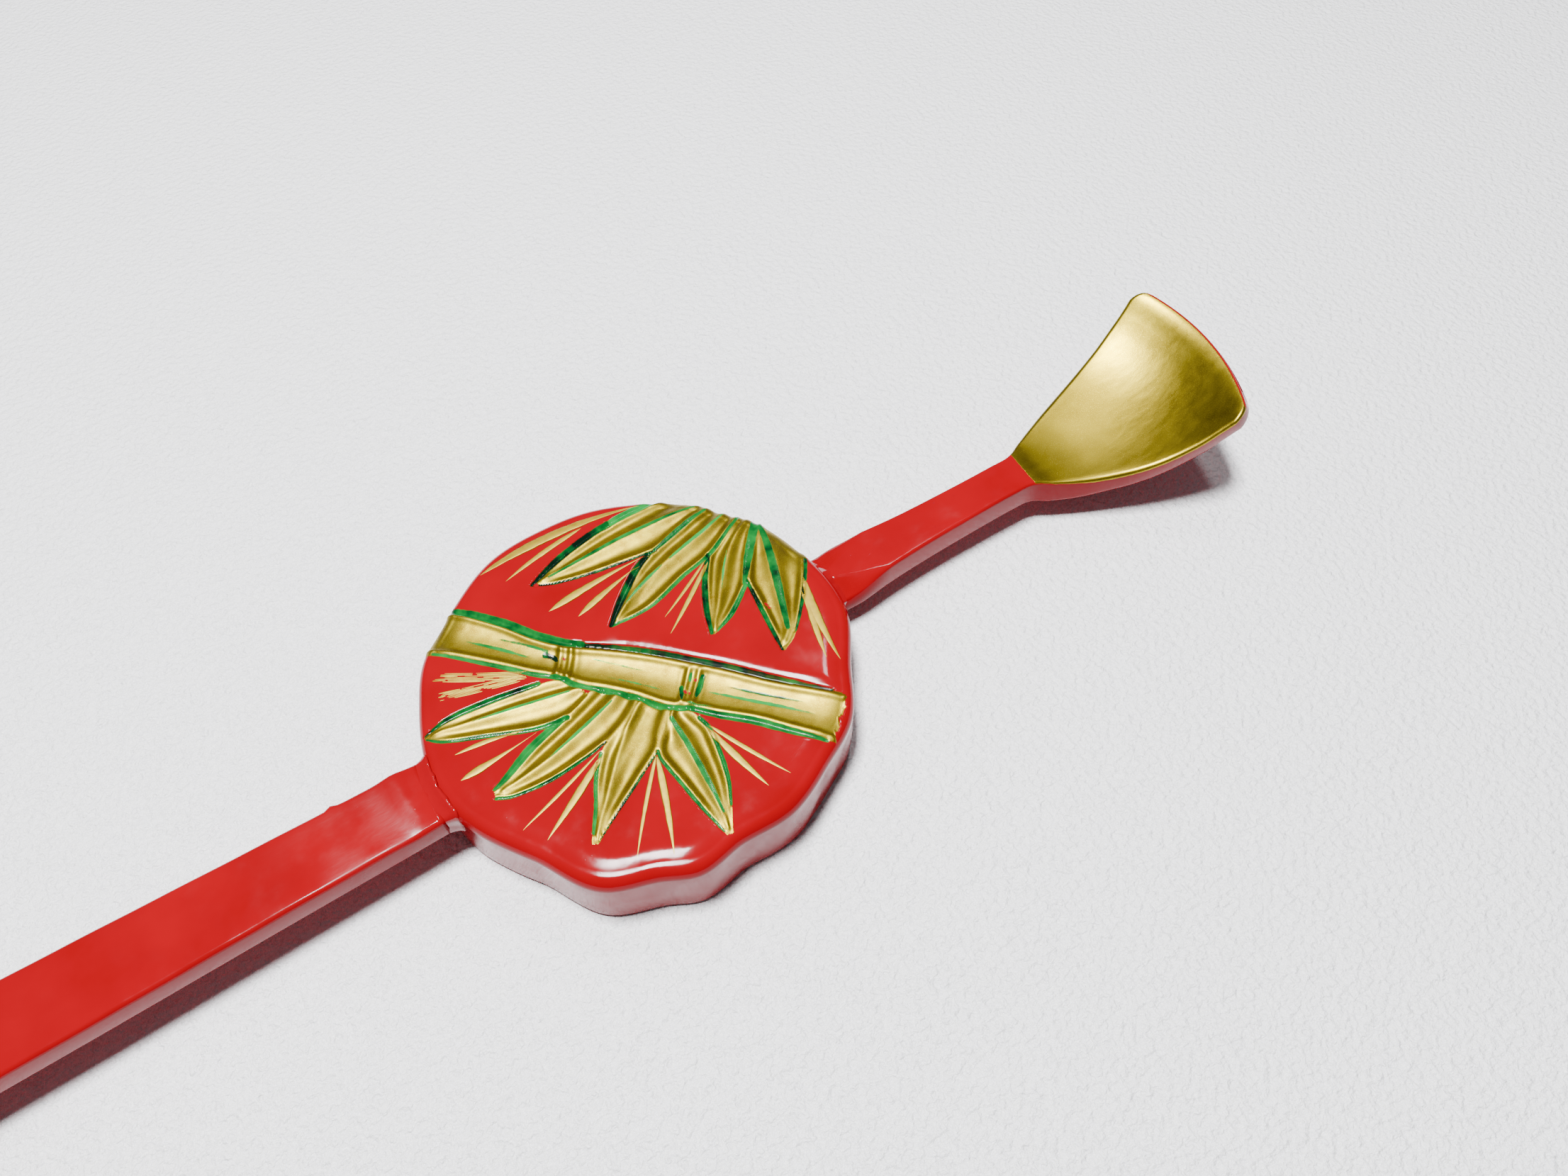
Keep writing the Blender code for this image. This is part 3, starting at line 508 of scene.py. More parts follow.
def medallion_finish():
    """Vermilion lacquer with gold paint on the relief, and green lacquer in the cuts darkened to near
    black with painted shade.
    """
    material, tree, shader, place = new_material("painted_lacquer")
    layers = {}
    for name in ("gilt", "ink", "tone", "chips"):
        layers[name] = add(tree, "ShaderNodeAttribute", attribute_name=name).outputs["Fac"]
    colour = lacquer_colour(tree, place)
    roughness, height = lacquer_surface(tree, place)

    # Every layer's edge wanders a little, as a brush leaves it.
    wander = math_node(tree, "MULTIPLY_ADD", noise(tree, place, 2200, 3), 0.16, -0.08)
    gilded = ramp(tree, math_node(tree, "ADD", layers["gilt"], wander), -0.1, -0.06)
    cloudy = noise(tree, place, 900, 5)
    powder = noise(tree, place, 16000, 2)
    gold = gold_colour(tree, cloudy, powder, RELIEF_GOLD, RELIEF_GOLD_DULL, RELIEF_GOLD_GLINT)
    colour = mix_colour(tree, gilded, colour, gold)
    roughness = mix_value(tree, gilded, roughness, mix_value(tree, cloudy, 0.4, 0.5))
    lumps = math_node(tree, "MULTIPLY", cloudy, 1.5)
    height = mix_value(tree, gilded, height, math_node(tree, "MULTIPLY_ADD", powder, 0.5, lumps))

    # The cuts are painted green, from the bright lacquer down to near black: the near-black is painted
    # shade in the wide, deep cuts.
    streaky = math_node(tree, "MULTIPLY_ADD", noise(tree, place, 1500, 4), 0.14, -0.07)
    ink_and_shade_cover = ramp(tree, math_node(tree, "ADD", layers["ink"], streaky), -0.03, 0.03)
    thin = math_node(tree, "MULTIPLY_ADD", noise(tree, place, 700, 3), 1.4, -0.7)
    thin = math_node(tree, "ADD", layers["tone"], thin, clamp=True)
    colour = mix_colour(tree, ink_and_shade_cover, colour, mix_colour(tree, thin, GREEN_CUT_SHADE, GREEN_THIN))
    roughness = mix_value(tree, ink_and_shade_cover, roughness, 0.16)
    metal = math_node(tree, "MULTIPLY", gilded, math_node(tree, "SUBTRACT", 1.0, ink_and_shade_cover))

    chipped = ramp(tree, math_node(tree, "ADD", layers["chips"], streaky), 0.0, 0.03)
    colour = mix_colour(tree, chipped, colour, VERMILION)
    metal = math_node(tree, "MULTIPLY", metal, math_node(tree, "SUBTRACT", 1.0, chipped))

    set_inputs(tree, shader, {"Base Color": colour, "Roughness": roughness, "Metallic": metal,
                              "Specular IOR Level": 0.15,
                              "Normal": bump_normal(tree, height, 0.25, 0.04)})
    return material


carved.data.materials.append(medallion_finish())
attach(carved, "root")
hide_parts("medallion")

# ---- brush strokes ------------------------------------------------------------------
# Fine leaves in a thinner gold, laid on the lacquer with single strokes of a small
# brush. Two of them were made with the brush nearly dry and broke into bristle tracks.
STROKE_POINTS = 14
PAINT_SPREAD = 1.3
THIN_GOLD = (0.42, 0.3, 0.016, 1)
THIN_GOLD_DULL = (0.32, 0.21, 0.009, 1)
# (start, end, half the width, where along it is widest, bow to the left), mm.
STROKES = (
    ((8.6, 15.9), (-7.6, 16.5), 0.42, 0.6, -0.75),
    ((2.6, 16.2), (-5.9, 14.4), 0.22, 0.4, -0.2),
    ((7.2, 10.1), (-4.0, 9.3), 0.32, 0.75, -0.25),
    ((5.2, 9.5), (-2.0, 7.4), 0.26, 0.7, -0.1),
    ((10.8, 6.8), (4.5, 3.2), 0.13, 0.45, 0.1),
    ((10.8, 6.5), (4.1, 1.4), 0.19, 0.4, 0.1),
    ((17.3, 0.3), (15.4, -8.7), 0.3, 0.4, -0.35),
    ((16.9, -0.4), (14.4, -8.0), 0.24, 0.5, -0.15),
    ((16.4, -0.6), (14.9, -5.6), 0.14, 0.5, 0.1),
    ((-10.9, -0.3), (-16.7, 0.6), 0.18, 0.55, -0.15),
    ((-9.3, -1.0), (-17.2, -1.8), 0.27, 0.8, 0.1),
    ((-6.4, -5.5), (-14.7, -8.4), 0.13, 0.5, 0.1),
    ((-6.4, -5.9), (-13.4, -10.2), 0.26, 0.4, 0.1),
    ((-2.6, -8.3), (-8.1, -15.3), 0.15, 0.35, -0.1),
    ((-2.6, -8.4), (-5.5, -16.6), 0.25, 0.35, 0.1),
    ((2.2, -8.2), (3.8, -15.6), 0.25, 0.45, -0.1),
    ((2.4, -8.2), (5.9, -15.6), 0.17, 0.4, -0.1),
)
# (start, end, half the width), mm.
DRY_STROKES = (((-8.3, 4.3), (-15.6, 8.6), 0.4), ((-8.8, 4.4), (-16.0, 6.5), 0.36))
DRY_STROKE_BOW = 0.1
BRISTLES = 7
BRISTLE_HALF_WIDTH = (0.04, 0.09)
chance = np.random.default_rng(11)


def stroke_points(start, end, bow, share_from=0.0, share_to=1.0, beside=0.0):
    """Points along one stroke or a part of it, and how far along the stroke each one is."""
    start, end = np.array(start), np.array(end)
    share = np.linspace(share_from, share_to, STROKE_POINTS)
    left = np.array((start[1] - end[1], end[0] - start[0])) / np.linalg.norm(end - start)
    swing = 4 * share * (1 - share) * bow + beside
    return start + (end - start) * share[:, None] + left * swing[:, None], share


tracks = []
for start, end, half, widest, bow in STROKES:
    line, share = stroke_points(start, end, bow)
    power = np.log(0.5) / np.log(widest)
    tracks.append((line, PAINT_SPREAD * half * np.sin(math.pi * share ** power) ** 0.75))
for start, end, half in DRY_STROKES:
    for beside in np.linspace(-half, half, BRISTLES):
        at = chance.uniform(0, 0.12)
        while at < 0.95:
            until = min(at + chance.uniform(0.25, 0.8), chance.uniform(0.85, 1.0))
            if until - at > 0.04:
                line, _ = stroke_points(start, end, DRY_STROKE_BOW, at, until, beside)
                body = np.sin(math.pi * np.linspace(0.04, 0.96, STROKE_POINTS)) ** 0.4
                tracks.append((line, chance.uniform(*BRISTLE_HALF_WIDTH) * body))
            at = until + chance.uniform(0.02, 0.12)

THINNEST_TRACK = 0.01
stroke_curve = bpy.data.curves.new("stroke_lines", "CURVE")
stroke_curve.dimensions = "3D"
for line, halves in tracks:
    spline = stroke_curve.splines.new("POLY")
    spline.points.add(len(line) - 1)
    for point, (x, y), half in zip(spline.points, line, halves):
        point.co = (x * MM, y * MM, 0, 1)
        point.radius = max(half, THINNEST_TRACK) * MM
stroke_lines = bpy.data.objects.new("stroke_lines", stroke_curve)
bpy.context.scene.collection.objects.link(stroke_lines)


def add_input(tree, name, kind, value=None):
    """Add an input to a tree of geometry nodes."""
    socket = tree.interface.new_socket(name, in_out="INPUT", socket_type=kind)
    if value is not None:
        socket.default_value = value


def stroke_tree():
    """Paint laid along curves: a flat lens of paint, as wide as each curve's radius, that
    wavers like a brush line and settles on whatever it is laid on.
    """
    tree = bpy.data.node_groups.new("paint strokes", "GeometryNodeTree")
    add_input(tree, "Lines", "NodeSocketGeometry")
    add_input(tree, "Step", "NodeSocketFloat", 0.15 * MM)
    add_input(tree, "Thickness to width", "NodeSocketFloat", 0.12)
    add_input(tree, "Waver", "NodeSocketFloat", 0.5)
    add_input(tree, "Waver size", "NodeSocketFloat", 900.0)
    add_input(tree, "Laid on", "NodeSocketObject")
    add_input(tree, "Paint", "NodeSocketMaterial")
    tree.interface.new_socket("Strokes", in_out="OUTPUT", socket_type="NodeSocketGeometry")
    given = add(tree, "NodeGroupInput").outputs

    even = add(tree, "GeometryNodeResampleCurve",
               {"Curve": given["Lines"], "Length": given["Step"]}, mode="LENGTH")
    radius = add(tree, "GeometryNodeInputRadius")
    grain = add(tree, "ShaderNodeTexNoise", {"Scale": given["Waver size"], "Detail": 2.0})
    tree.links.new(add(tree, "GeometryNodeInputPosition").outputs[0], grain.inputs["Vector"])
    off = math_node(tree, "SUBTRACT", grain.outputs["Fac"], 0.5)
    change = math_node(tree, "MULTIPLY_ADD", off, given["Waver"], 1.0)
    wavered = math_node(tree, "MULTIPLY", radius.outputs[0], change)
    level = add(tree, "GeometryNodeSetCurveNormal", {"Curve": even.outputs[0]}, mode="Z_UP")

    ring = add(tree, "GeometryNodeCurvePrimitiveCircle", {"Resolution": 8, "Radius": 1.0})
    flat = add(tree, "ShaderNodeCombineXYZ", {"X": 1.0, "Y": given["Thickness to width"], "Z": 1.0})
    lens = add(tree, "GeometryNodeTransform",
               {"Geometry": ring.outputs[0], "Scale": flat.outputs[0]})
    swept = add(tree, "GeometryNodeCurveToMesh",
                {"Curve": level.outputs[0], "Profile Curve": lens.outputs[0],
                 "Scale": wavered, "Fill Caps": True})

    ground = add(tree, "GeometryNodeObjectInfo", {"Object": given["Laid on"]})
    place = add(tree, "GeometryNodeInputPosition").outputs[0]
    above = add(tree, "ShaderNodeVectorMath", {0: place, 1: (0, 0, 20 * MM)}, operation="ADD")
    drop = add(tree, "GeometryNodeRaycast",
               {"Target Geometry": ground.outputs["Geometry"], "Source Position": above.outputs[0],
                "Ray Direction": (0, 0, -1), "Ray Length": 1.0})
    landing = add(tree, "ShaderNodeSeparateXYZ", {0: drop.outputs["Hit Position"]})
    rise = add(tree, "ShaderNodeCombineXYZ", {"Z": landing.outputs["Z"]})
    laid = add(tree, "GeometryNodeSetPosition",
               {"Geometry": swept.outputs[0], "Offset": rise.outputs[0]})
    smooth = add(tree, "GeometryNodeSetShadeSmooth", {"Geometry": laid.outputs[0]})
    solid = add(tree, "GeometryNodeRealizeInstances", {"Geometry": smooth.outputs[0]})
    painted = add(tree, "GeometryNodeSetMaterial",
                  {"Geometry": solid.outputs[0], "Material": given["Paint"]})
    out = add(tree, "NodeGroupOutput")
    tree.links.new(painted.outputs[0], out.inputs[0])
    return tree


def made_by_nodes(name, base, tree, values):
    """The plain mesh that a tree of geometry nodes makes from an object, in its place."""
    step = base.modifiers.new(tree.name, "NODES")
    step.node_group = tree
    for item in tree.interface.items_tree:
        if item.name in values:
            step[item.identifier] = values[item.name]
    bpy.context.view_layer.update()
    graph = bpy.context.evaluated_depsgraph_get()
    mesh = bpy.data.meshes.new_from_object(base.evaluated_get(graph), depsgraph=graph)
    mesh.name = name
    bpy.data.objects.remove(base)
    piece = bpy.data.objects.new(name, mesh)
    bpy.context.scene.collection.objects.link(piece)
    return piece


def thin_gold():
    """Gold powder in thin lacquer, so that it shines less like metal than the relief."""
    material, tree, shader, place = new_material("thin_gold_paint")
    cloudy = noise(tree, place, 1800, 4)
    colour = mix_colour(tree, ramp(tree, cloudy, 0.3, 0.7), THIN_GOLD, THIN_GOLD_DULL)
    set_inputs(tree, shader, {"Base Color": colour, "Metallic": 0.5, "Roughness": 0.45,
                              "Normal": bump_normal(tree, cloudy, 0.3, 0.03)})
    return material


strokes = made_by_nodes("brush_strokes", stroke_lines, stroke_tree(),
                        {"Laid on": carved, "Paint": thin_gold()})
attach(strokes, "root")

# ---- leg ----------------------------------------------------------------------------
# A flat bar of the same wood, broadest at its middle and tapered to a rounded tip, with
# a tenon glued into the medallion's edge. The lacquer is worn dull near the medallion,
# where the pin is held, and has run to a thick swelling beside the joint.
SHAFT_LENGTH = 90.4
SHAFT_UNDERSIDE = round(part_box("shaft")[0][2] / MM, 3)
SHAFT_THICKNESS = round(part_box("shaft")[1][2] / MM - SHAFT_UNDERSIDE, 3)
SHAFT_SIDE_SHIFT = -0.93
SHAFT_SKEW = 0.85
SHAFT_EDGE_ROUND = 0.45
SHOULDER_X = 19.72
THINNEST = 0.02
# (distance from the medallion's edge, half the width), mm.
SHAFT_OUTLINE = ((0, 3.1), (14, 3.32), (31, 3.63), (48, 3.75), (66, 3.45), (80, 2.7), (87.5, 1.75),
                 (89.9, 0.85), (SHAFT_LENGTH, THINNEST))
# The run of lacquer is a ridge across the top, highest near its middle, and farther out a
# small burr stands out of one edge: (height, distance from the medallion, width), mm.
SWELLING = (0.2, 2.0, 1.0)
SWELLING_LEAN = (0.1, 2.2, 1.2)
SWELLING_CROWN = 0.35
SWELLING_HALF_WIDTH = 3.2
BURR = (0.35, 7.3, 0.35)
BRUSH_RIPPLE = 0.02
# The gloss is lost between the first two x and comes back between the others, mm.
RUBBED_X = (-36, -24, -23.5, -21.2)


def rounded_bar(half_width, half_depth, radius, corner_steps=6, side_steps=10):
    """A rounded oblong as (y, z) points, anticlockwise from its +y side."""
    radius = min(radius, half_width * 0.95)
    points = []
    for quarter, (side_y, side_z) in enumerate(((1, 1), (-1, 1), (-1, -1), (1, -1))):
        for step in range(corner_steps + 1):
            angle = math.radians(90 * (quarter + step / corner_steps))
            points.append((side_y * (half_width - radius) + radius * math.cos(angle),
                           side_z * (half_depth - radius) + radius * math.sin(angle)))
        if quarter % 2 == 0:
            reach_y = side_y * (half_width - radius) * np.linspace(1, -1, side_steps + 2)[1:-1]
            points.extend((y, side_z * half_depth) for y in reach_y)
    return np.array(points)


def skin(name, rings, material=None):
    """A closed body over equal rings of points, in mm."""
    count = len(rings[0])
    faces = []
    for i in range(len(rings) - 1):
        for j in range(count):
            k = (j + 1) % count
            faces.append([i * count + j, i * count + k, (i + 1) * count + k, (i + 1) * count + j])
    faces.append(list(range(count))[::-1])
    faces.append([(len(rings) - 1) * count + j for j in range(count)])
    return mesh_object(name, np.vstack(rings) * MM, faces, material)


outline = curve_through(SHAFT_OUTLINE, 24)
rings = []
for along, half in outline:
    section = rounded_bar(max(half, THINNEST), SHAFT_THICKNESS / 2, SHAFT_EDGE_ROUND)
    y, z = section.T
    top = np.clip(z / (SHAFT_THICKNESS / 2), 0, 1)
    swelling = ridge(along, *SWELLING) * (1 - SWELLING_CROWN * (y / SWELLING_HALF_WIDTH) ** 2)
    z = z + top * (swelling - y * ridge(along, *SWELLING_LEAN))
    z = z + top * BRUSH_RIPPLE * np.sin(along * 0.9 + y)
    y = y - ridge(along, *BURR) * np.clip(-y / half - 0.75, 0, 1) * 4 * top
    rings.append(np.column_stack([np.full(len(y), along), y, z]))
turned = math.pi + math.radians(SHAFT_SKEW)
rotation = np.array([[math.cos(turned), -math.sin(turned), 0],
                     [math.sin(turned), math.cos(turned), 0], [0, 0, 1]])
middle = (-SHOULDER_X, SHAFT_SIDE_SHIFT, SHAFT_UNDERSIDE + SHAFT_THICKNESS / 2)
rings = [ring @ rotation.T + middle for ring in rings]


def held_lacquer():
    """The leg's vermilion lacquer, rubbed dull and finely scratched where it is held."""
    material, tree, shader, place = new_material("leg_lacquer")
    colour = lacquer_colour(tree, place)
    roughness, height = lacquer_surface(tree, place)
    x = add(tree, "ShaderNodeSeparateXYZ", {0: place}).outputs[0]
    tip_side = ramp(tree, x, RUBBED_X[0] * MM, RUBBED_X[1] * MM)
    medallion_side = ramp(tree, x, RUBBED_X[3] * MM, RUBBED_X[2] * MM)
    held = math_node(tree, "MULTIPLY", tip_side, medallion_side)
    worn = math_node(tree, "MULTIPLY", held, ramp(tree, noise(tree, place, 260, 4), 0.25, 0.6))
    roughness = mix_value(tree, worn, roughness, 0.42)
    scratches = noise(tree, place, 3000, 3, (0.35, 1, 1))
    height = math_node(tree, "ADD", height, math_node(tree, "MULTIPLY", worn, scratches))
    set_inputs(tree, shader, {"Base Color": colour, "Roughness": roughness,
                              "Specular IOR Level": 0.15,
                              "Normal": bump_normal(tree, height, 0.3, 0.04)})
    return material


leg = skin("leg", rings, held_lacquer())
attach(leg, "root")
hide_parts("shaft")

# ---- neck and scoop -----------------------------------------------------------------
# One carved piece: a neck, faceted at its root, that spreads into a shallow upturned
# scoop. The scoop's face and the upper part of its rim are gilded over the lacquer.
NECK_SIDE_SHIFT = 0.35
SCOOP_SIDE_SHIFT = -0.05
NECK_THICKNESS = 3.05
SCOOP_THICKNESS = 2.75
SCOOP_TIP_BOW = 2.2
SCOOP_TIP_SKEW = 1.6
# (x, half the width, height of the face), mm.
NECK_AND_SCOOP = (
    (20.6, 2.85, 5.15), (22.4, 2.85, 5.2), (25.5, 2.5, 5.3), (30.0, 2.2, 5.4), (36.0, 2.05, 5.6),
    (40.5, 2.03, 5.75), (43.0, 2.15, 5.7), (45.0, 3.1, 5.42), (47.0, 4.05, 5.33),
    (49.0, 4.95, 5.4), (51.0, 5.75, 5.68), (53.0, 6.5, 6.12), (55.0, 7.2, 6.78),
    (57.0, 7.85, 7.7), (59.0, 8.5, 8.95), (60.6, 8.95, 10.2), (61.7, 9.3, 11.15),
)
# Round the tip: (how far past the last section, how much smaller than it all round).
SCOOP_END_ROUND = ((0.3, 0.04), (0.6, 0.15), (0.82, 0.3), (1.0, 0.5), (1.1, 0.75), (1.15, 1.1))
CHAMFER_START_X = 20.6
CHAMFER_END_X = 25.5
CHAMFER_ROOT_WIDTH = 2.1
CHAMFER_ROOT_DROP = 0.8
SCOOP_START_X = 43.0
SCOOP_SECTION_RUN = 8
SCOOP_BOW_RUN = 18
DISH_DEPTH = 0.3
FACE_EDGE_ROUND = 0.3
UNDERSIDE_EDGE_ROUND = 0.4
SCOOP_RIM_ROUND = 0.5
SCOOP_EDGE_ROUND = 1.1
MOST_ROUND_SHARE = 0.48
# The gold starts here, on a slight slant, and runs this far over the rim and the tip.
GILT_START_X = 43.2
GILT_START_SLANT = 0.06
GILT_OVER_RIM = 0.1
GILT_OVER_TIP = 0.55
SCOOP_GOLD = (0.34, 0.25, 0.016, 1)
SCOOP_GOLD_DULL = (0.24, 0.17, 0.01, 1)
SCOOP_GOLD_GLINT = (0.5, 0.4, 0.045, 1)


def smooth_step(t):
    t = np.clip(t, 0, 1)
    return t * t * (3 - 2 * t)


def corner_arc(start, end, apex, straight, steps=9):
    """Points round a corner: on an arc when straight is 0, on a plain cut when it is 1."""
    start, end, apex = (np.array(point, float) for point in (start, end, apex))
    turn = np.linspace(0, math.pi / 2, steps)[:, None]
    arc = apex + (start - apex) * (1 - np.sin(turn)) + (end - apex) * (1 - np.cos(turn))
    cut = start + (end - start) * turn / (math.pi / 2)
    return arc + (cut - arc) * straight


def neck_section(x, half, inset):
    """Half of a cross-section: (y, depth below the face) from the underside's middle."""
    scooped = smooth_step((x - SCOOP_START_X) / SCOOP_SECTION_RUN)
    thickness = NECK_THICKNESS + (SCOOP_THICKNESS - NECK_THICKNESS) * scooped
    facet = 1 - np.clip((x - CHAMFER_START_X) / (CHAMFER_END_X - CHAMFER_START_X), 0, 1)
    half -= inset
    bottom = thickness - inset
    rim = inset * 0.5 - DISH_DEPTH * scooped
    most_round = (bottom - rim) * MOST_ROUND_SHARE
    face_round = min(FACE_EDGE_ROUND + (SCOOP_RIM_ROUND - FACE_EDGE_ROUND) * scooped, most_round)
    under_round = min(UNDERSIDE_EDGE_ROUND + (SCOOP_EDGE_ROUND - UNDERSIDE_EDGE_ROUND) * scooped,
                      most_round)
    facet_width = face_round + CHAMFER_ROOT_WIDTH * facet
    facet_drop = face_round + CHAMFER_ROOT_DROP * facet
    under = corner_arc((half - under_round, bottom), (half, bottom - under_round),
                       (half, bottom), 0)
    upper = corner_arc((half, rim + facet_drop), (half - facet_width, rim), (half, rim), facet)
    low = np.linspace(0, half - under_round, 7, endpoint=False)
    inner = np.linspace(half - facet_width, 0, 12)[1:]
    dish = inset * 0.5 + (rim - inset * 0.5) * (inner / (half - facet_width)) ** 2
    return np.vstack([np.column_stack([low, np.full(len(low), bottom)]), under, upper,
                      np.column_stack([inner, dish])])


stations = curve_through(NECK_AND_SCOOP, 9)
slopes = np.maximum(np.arctan(np.gradient(stations[:, 2], stations[:, 0])), 0)
plan = [(SHOULDER_X, *stations[0][1:], 0.0, 0.0, 0.0)]
plan += [(x, half, top, slope, 0.0, 0.0) for (x, half, top), slope in zip(stations, slopes)]
plan += [(*stations[-1], slopes[-1], forward, inset) for forward, inset in SCOOP_END_ROUND]
rings, gilt = [], []
for x, half, top, slope, forward, inset in plan:
    right = neck_section(x, half, inset)
    section = np.vstack([right, right[-2:0:-1] * (-1, 1)])
    y, depth = section.T
    bowed = smooth_step((x - SCOOP_START_X) / SCOOP_BOW_RUN)
    shift = NECK_SIDE_SHIFT + (SCOOP_SIDE_SHIFT - NECK_SIDE_SHIFT) * bowed
    across = y / half
    lead = bowed * (SCOOP_TIP_BOW * (1 - across ** 2) + SCOOP_TIP_SKEW * across)
    place_x = x + forward + lead + depth * math.sin(slope)
    place_z = top + forward * math.tan(slope) - depth * math.cos(slope)
    rings.append(np.column_stack([place_x, y + shift, place_z]))
    over_edge = np.minimum(GILT_OVER_RIM + 0.5 * inset - depth, GILT_OVER_TIP - inset)
    gilt.append(np.minimum(x - GILT_START_X - GILT_START_SLANT * y, over_edge))
carved_neck = skin("neck_and_scoop", rings)
store(carved_neck, "gilt", np.concatenate(gilt))


def gilded_finish():
    """Vermilion lacquer, and satin gold brushed along the scoop and cloudy with handling."""
    material, tree, shader, place = new_material("gilded_lacquer")
    colour = lacquer_colour(tree, place)
    roughness, height = lacquer_surface(tree, place)
    layer = add(tree, "ShaderNodeAttribute", attribute_name="gilt").outputs["Fac"]
    wander = math_node(tree, "MULTIPLY_ADD", noise(tree, place, 1500, 3), 0.16, -0.08)
    gilded = ramp(tree, math_node(tree, "ADD", layer, wander), -0.03, 0.03)
    cloudy = noise(tree, place, 260, 5)
    brushed = noise(tree, place, 1400, 4, (0.12, 1, 1))
    powder = noise(tree, place, 16000, 2)
    gold = gold_colour(tree, cloudy, powder, SCOOP_GOLD, SCOOP_GOLD_DULL, SCOOP_GOLD_GLINT)
    colour = mix_colour(tree, gilded, colour, gold)
    satin = math_node(tree, "MULTIPLY_ADD", brushed, 0.12, 0.29)
    roughness = mix_value(tree, gilded, roughness, satin)
    grain = math_node(tree, "MULTIPLY_ADD", powder, 0.5, math_node(tree, "ADD", brushed, cloudy))
    height = mix_value(tree, gilded, height, grain)
    set_inputs(tree, shader, {"Base Color": colour, "Roughness": roughness, "Metallic": gilded,
                              "Specular IOR Level": 0.1,
                              "Normal": bump_normal(tree, height, 0.3, 0.05)})
    return material


carved_neck.data.materials.append(gilded_finish())
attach(carved_neck, "root")
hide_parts("neck_scoop")

# ---- joint filler -------------------------------------------------------------------
# A bead of thick lacquer and glue was wiped round each bar where it enters the medallion.
# It set hard and glossy, with a hollow face and a slightly lumpy edge.
BEAD_SPREAD = 0.5
BEAD_RUN = 1.0
BEAD_INTO_BAR = 0.03
BEAD_INTO_MEDALLION = 0.1
# Round the bead's section: (share of its spread from the bar, share of its run along it).
BEAD_PROFILE = ((0, 0), (1, 0), (0.72, 0.08), (0.5, 0.22), (0.3, 0.42), (0.15, 0.68), (0.06, 0.86),
                (0, 1))


def rim_x(y, z, side):
    """X of the medallion's edge at this y and height, in mm, on the +X or the -X side."""
    rise = np.clip(z - (MEDALLION_THICKNESS - FRONT_ROUND), 0, FRONT_ROUND)
    inset = FRONT_ROUND - np.sqrt(FRONT_ROUND ** 2 - rise ** 2)
    x = np.full(len(y), side * 19.0)
    for _ in range(6):
        x = side * np.sqrt((rim_radius(np.arctan2(y, x)) - inset) ** 2 - y ** 2)
    return x


def filler_bead(name, section, side, material):
    """A hollow-faced bead round a bar's outline, given as (y, z) points in mm."""
    ahead, behind = np.roll(section, -1, axis=0), np.roll(section, 1, axis=0)
    tangent = ahead - behind
    normal = np.column_stack([tangent[:, 1], -tangent[:, 0]])
    normal /= np.linalg.norm(normal, axis=1)[:, None]
    if ((section - section.mean(0)) * normal).sum() < 0:
        normal = -normal
    turn = np.arctan2(*(section - section.mean(0)).T)
    lumps = 1 + 0.1 * np.sin(turn * 5 + side) + 0.04 * np.sin(turn * 13)
    columns = []
    for spread, run in BEAD_PROFILE:
        place = section + normal * (spread * BEAD_SPREAD * lumps - BEAD_INTO_BAR)[:, None]
        run_out = run * BEAD_RUN * lumps - (BEAD_INTO_MEDALLION if run == 0 else 0)
        x = rim_x(place[:, 0], place[:, 1], side) + side * run_out
        columns.append(np.column_stack([x, place]))
    grid = np.stack(columns, 1)
    ring_count, count = grid.shape[:2]
    faces = []
    for i in range(ring_count):
        for j in range(count):
            k, m = (i + 1) % ring_count, (j + 1) % count
            face = [i * count + j, k * count + j, k * count + m, i * count + m]
            faces.append(face if side > 0 else face[::-1])
    return mesh_object(name, grid.reshape(-1, 3) * MM, faces, material)


def close_steps(section, longest=0.12):
    """The same closed outline in steps no longer than this."""
    points = []
    for start, end in zip(section, np.roll(section, -1, axis=0)):
        parts = max(1, math.ceil(np.linalg.norm(end - start) / longest))
        points.extend(start + (end - start) * step / parts for step in range(parts))
    return np.array(points)


def filler_finish():
    """The same lacquer laid thick: glossy, and a little lumpy."""
    material, tree, shader, place = new_material("set_lacquer_filler")
    lumps = noise(tree, place, 900, 2)
    set_inputs(tree, shader, {"Base Color": lacquer_colour(tree, place), "Roughness": 0.08,
                              "Normal": bump_normal(tree, lumps, 0.5, 0.15)})
    return material


filler = filler_finish()
shaft_joint = rounded_bar(SHAFT_OUTLINE[0][1], SHAFT_THICKNESS / 2, SHAFT_EDGE_ROUND)
shaft_joint = shaft_joint + (SHAFT_SIDE_SHIFT, SHAFT_UNDERSIDE + SHAFT_THICKNESS / 2)
neck_joint = rings[1][:, 1:]
for name, section, side, node in (("leg_joint_bead", shaft_joint, -1, "shaft_joint_filler"),
                                  ("neck_joint_bead", neck_joint, 1, "neck_joint_filler")):
    bead = filler_bead(name, close_steps(section), side, filler)
    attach(bead, "root")
    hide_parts(node)

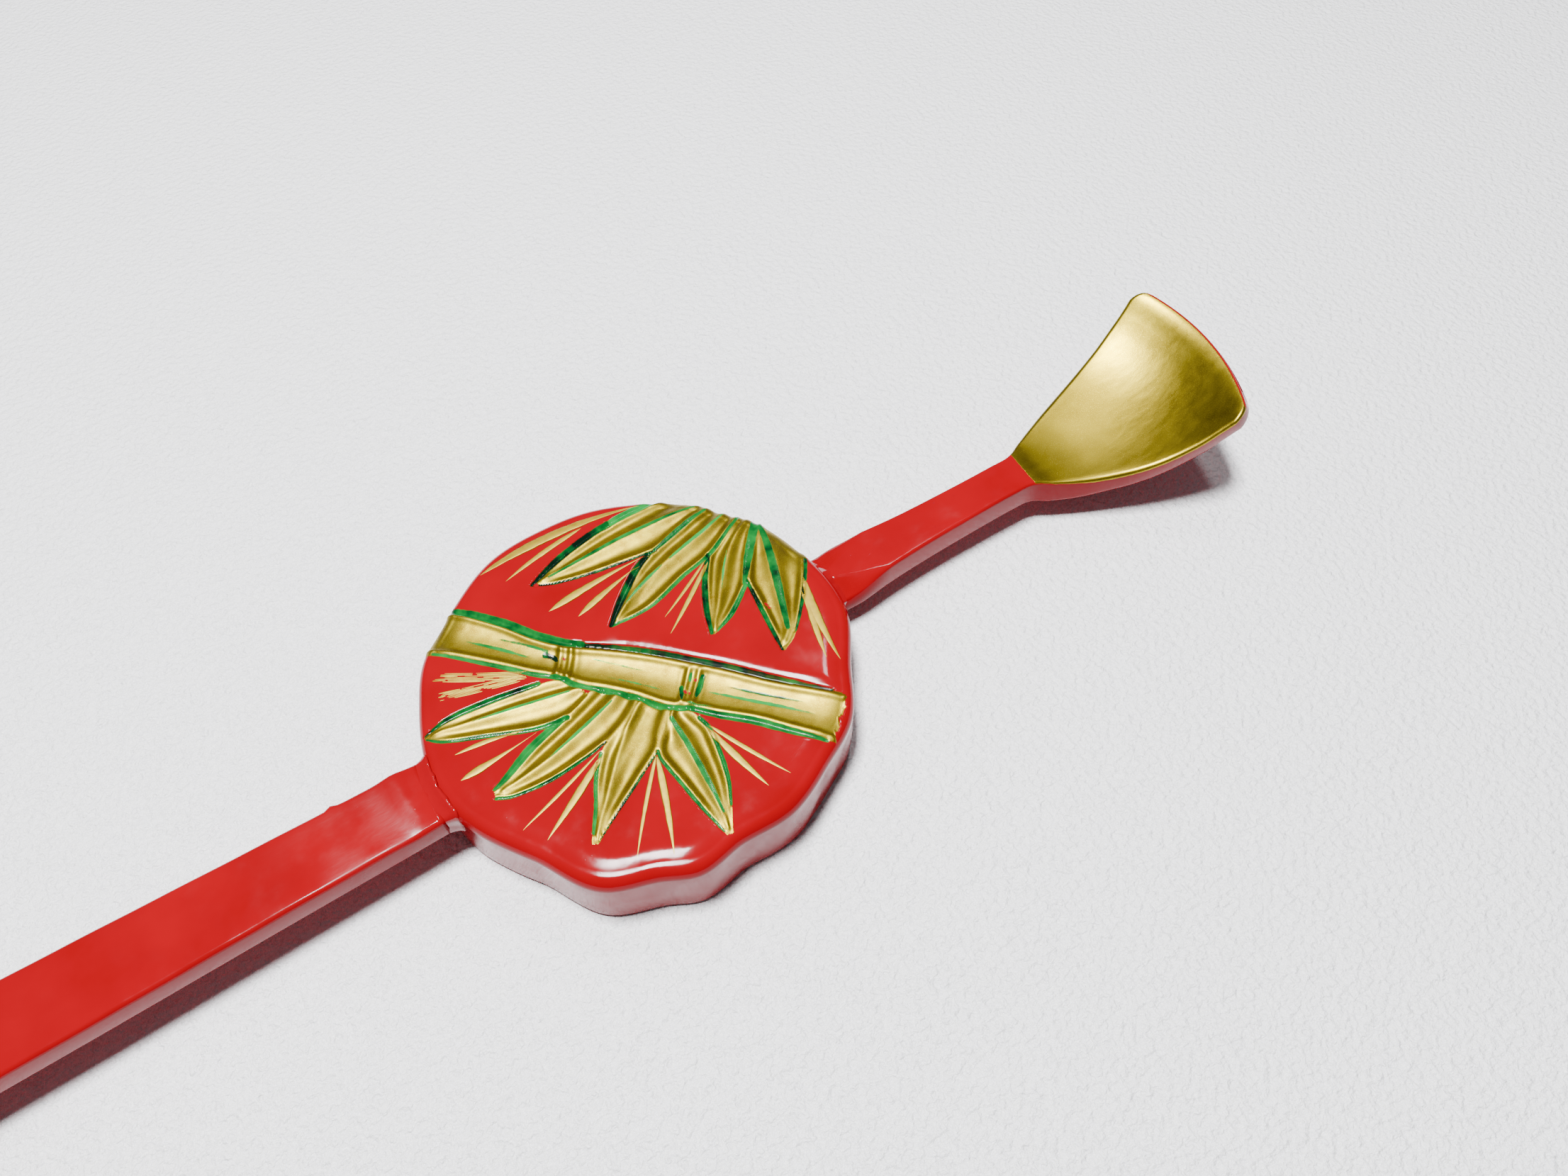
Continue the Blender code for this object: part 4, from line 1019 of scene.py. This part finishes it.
# ---- table, light and camera --------------------------------------------------------
# A sheet of pale embossed board, a soft light almost overhead with a weak one beyond the
# scoop, and a camera ten centimetres off, looking down over the pin's -Y side.
BOARD_CORNERS = ((-0.6, -0.5, 0), (0.6, -0.5, 0), (0.6, 0.7, 0), (-0.6, 0.7, 0))
BOARD_WHITE = (0.88, 0.88, 0.9, 1)
ROOM_LIGHT = (0.9, 0.93, 1, 1)
CAMERA_PLACE = (-0.01497, -0.04936, 0.09207)
CAMERA_TURNS = ((-31.306, "Z"), (34.286, "X"), (-0.970, "Z"))
floor = mesh_object("floor", BOARD_CORNERS, [[0, 1, 2, 3]])
material, tree, shader, place = new_material("embossed_board")
grain = noise(tree, place, 1500, 3)
set_inputs(tree, shader, {"Base Color": BOARD_WHITE, "Roughness": 0.4,
                          "Normal": bump_normal(tree, grain, 1.0, 0.6)})
floor.data.materials.append(material)

world = bpy.data.worlds.new("studio")
bpy.context.scene.world = world
world.use_nodes = True
set_inputs(world.node_tree, world.node_tree.nodes["Background"],
           {"Color": ROOM_LIGHT, "Strength": 0.1})


def soft_light(name, place, aim, size, power):
    """An oblong lamp at a place, turned to what it lights."""
    lamp = bpy.data.lights.new(name, "AREA")
    lamp.shape = "RECTANGLE"
    lamp.size, lamp.size_y = size
    lamp.energy = power
    holder = bpy.data.objects.new(name, lamp)
    holder.location = place
    holder.rotation_euler = (Vector(aim) - Vector(place)).to_track_quat("-Z", "Y").to_euler()
    bpy.context.scene.collection.objects.link(holder)


soft_light("overhead", (-0.045, 0.038, 0.5), (0, 0, 0), (0.11, 0.09), 8.6)
soft_light("beyond", (0.185, 0.165, 0.443), (0.02, 0, 0), (0.05, 0.05), 0.5)

camera = bpy.data.objects.new("camera", bpy.data.cameras.new("camera"))
camera.data.sensor_fit = "HORIZONTAL"
camera.data.sensor_width = 36
camera.data.lens = 26.04
camera.data.clip_start = 0.005
pose = Matrix.Translation(CAMERA_PLACE)
for angle, axis in CAMERA_TURNS:
    pose = pose @ Matrix.Rotation(math.radians(angle), 4, axis)
camera.matrix_world = pose
bpy.context.scene.collection.objects.link(camera)
bpy.context.scene.camera = camera
